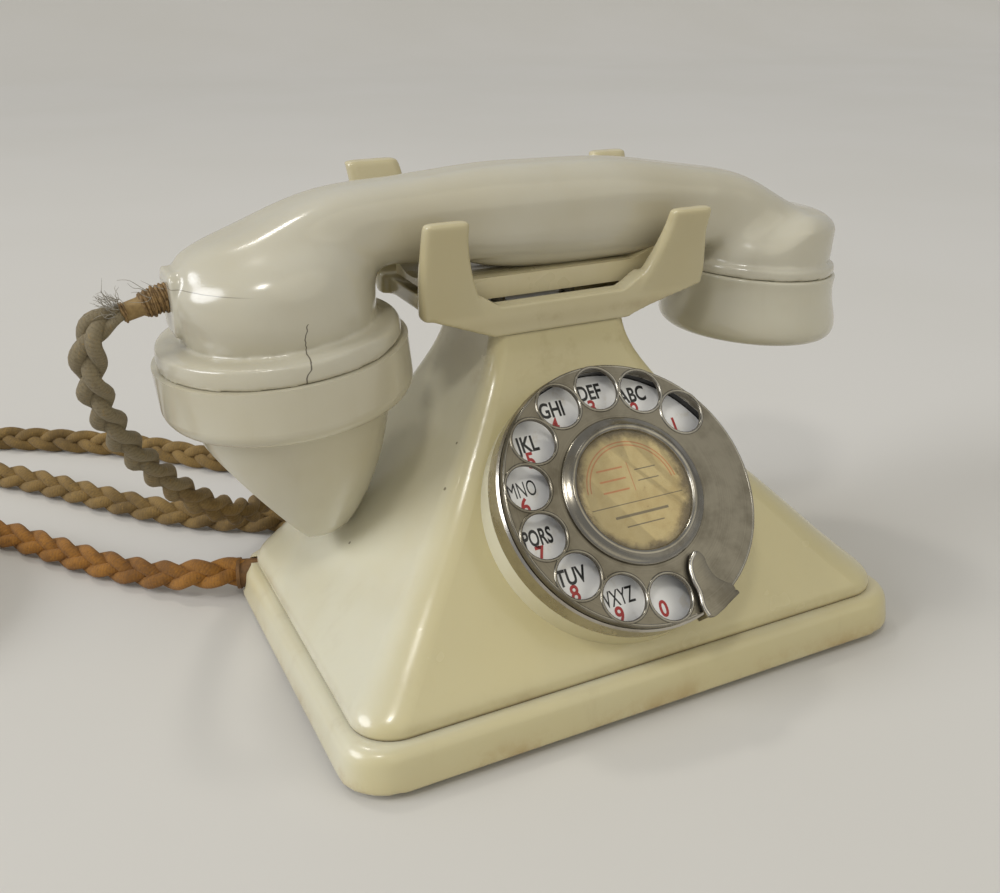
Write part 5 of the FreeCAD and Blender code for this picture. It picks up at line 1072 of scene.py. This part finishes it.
finished("coil_tie", tape, tie_tape, "base")

# TABLE, LIGHT AND CAMERA
# A pale table that sweeps up behind, daylight from the left, a weaker glow from the front and two small
# lamps overhead that show in the gloss. Nothing here belongs to the telephone.
table, tree, skin = new_material("pale_table")
at = here(tree)
dust = patches(at, 3.0, 3.0, 0.5, 0.3, 0.7)
dusty = blend_of(dust, (0.625, 0.605, 0.565, 1), (0.61, 0.59, 0.545, 1))
fill(skin, {"Base Color": dusty, "Roughness": 0.75})
sweep = bmesh.new()
ends = [sweep.verts.new((x, -2.0, 0)) for x in (-4.0, 4.0)]
edge = sweep.edges.new(ends)
moved = bmesh.ops.extrude_edge_only(sweep, edges=[edge])["geom"]
bmesh.ops.translate(sweep, vec=(0, 4.0, 0), verts=[g for g in moved if isinstance(g, bmesh.types.BMVert)])
edge = [g for g in moved if isinstance(g, bmesh.types.BMEdge)]
bmesh.ops.spin(sweep, geom=edge, cent=(0, 2.0, 1.2), axis=(1, 0, 0), angle=math.radians(85), steps=24)
bmesh.ops.recalc_face_normals(sweep, faces=sweep.faces)
floor = finished("table_sweep", sweep, table)

scene = bpy.context.scene
scene.view_settings.view_transform = "Standard"
world = bpy.data.worlds.new("soft_room")
scene.world = world
world.use_nodes = True
fill(world.node_tree.nodes["Background"], {"Color": (0.97, 0.98, 1.0, 1), "Strength": 0.42})


def soft_lamp(name, kind, place, power, size, colour):
    """A soft lamp that shines on the telephone: a far one, or a near one that shows in the gloss."""
    lamp = bpy.data.lights.new(name, kind)
    lamp.energy = power
    lamp.color = colour
    if kind == "SUN":
        lamp.angle = math.radians(size)
    else:
        lamp.size = size
    stand = shown(name, lamp)
    stand.location = place
    stand.rotation_euler = (Vector((0, 0, 0.05)) - Vector(place)).to_track_quat("-Z", "Y").to_euler()


soft_lamp("window_left", "SUN", (-1.6, 0.2, 0.95), 1.55, 30, (0.96, 0.98, 1.03))
soft_lamp("room_front", "SUN", (0.5, -1.5, 1.3), 0.55, 60, (1.0, 0.93, 0.72))
soft_lamp("table_lamp", "AREA", (-0.5, -0.5, 1.1), 2.4, 0.16, (1.0, 0.98, 0.94))
soft_lamp("ceiling_lamp", "AREA", (-0.25, 0.55, 1.25), 1.9, 0.16, (1.0, 0.97, 0.9))

AZIMUTH, ELEVATION = math.radians(-26.836), math.radians(23.872)
LOOK_AT, CAMERA_FAR = Vector((-0.015442, 0.003099, 0.060554)), 0.32265
back = Vector((math.sin(AZIMUTH) * math.cos(ELEVATION), -math.cos(AZIMUTH) * math.cos(ELEVATION),
               math.sin(ELEVATION)))
lens = bpy.data.cameras.new("photo_view")
lens.sensor_width = 36.0
lens.lens = 38.232
lens.shift_x = -0.0104
lens.shift_y = -0.0029
lens.clip_start = 0.01
camera = shown("photo_view", lens)
camera.location = LOOK_AT + back * CAMERA_FAR
camera.rotation_euler = (-back).to_track_quat("-Z", "Y").to_euler()
scene.camera = camera
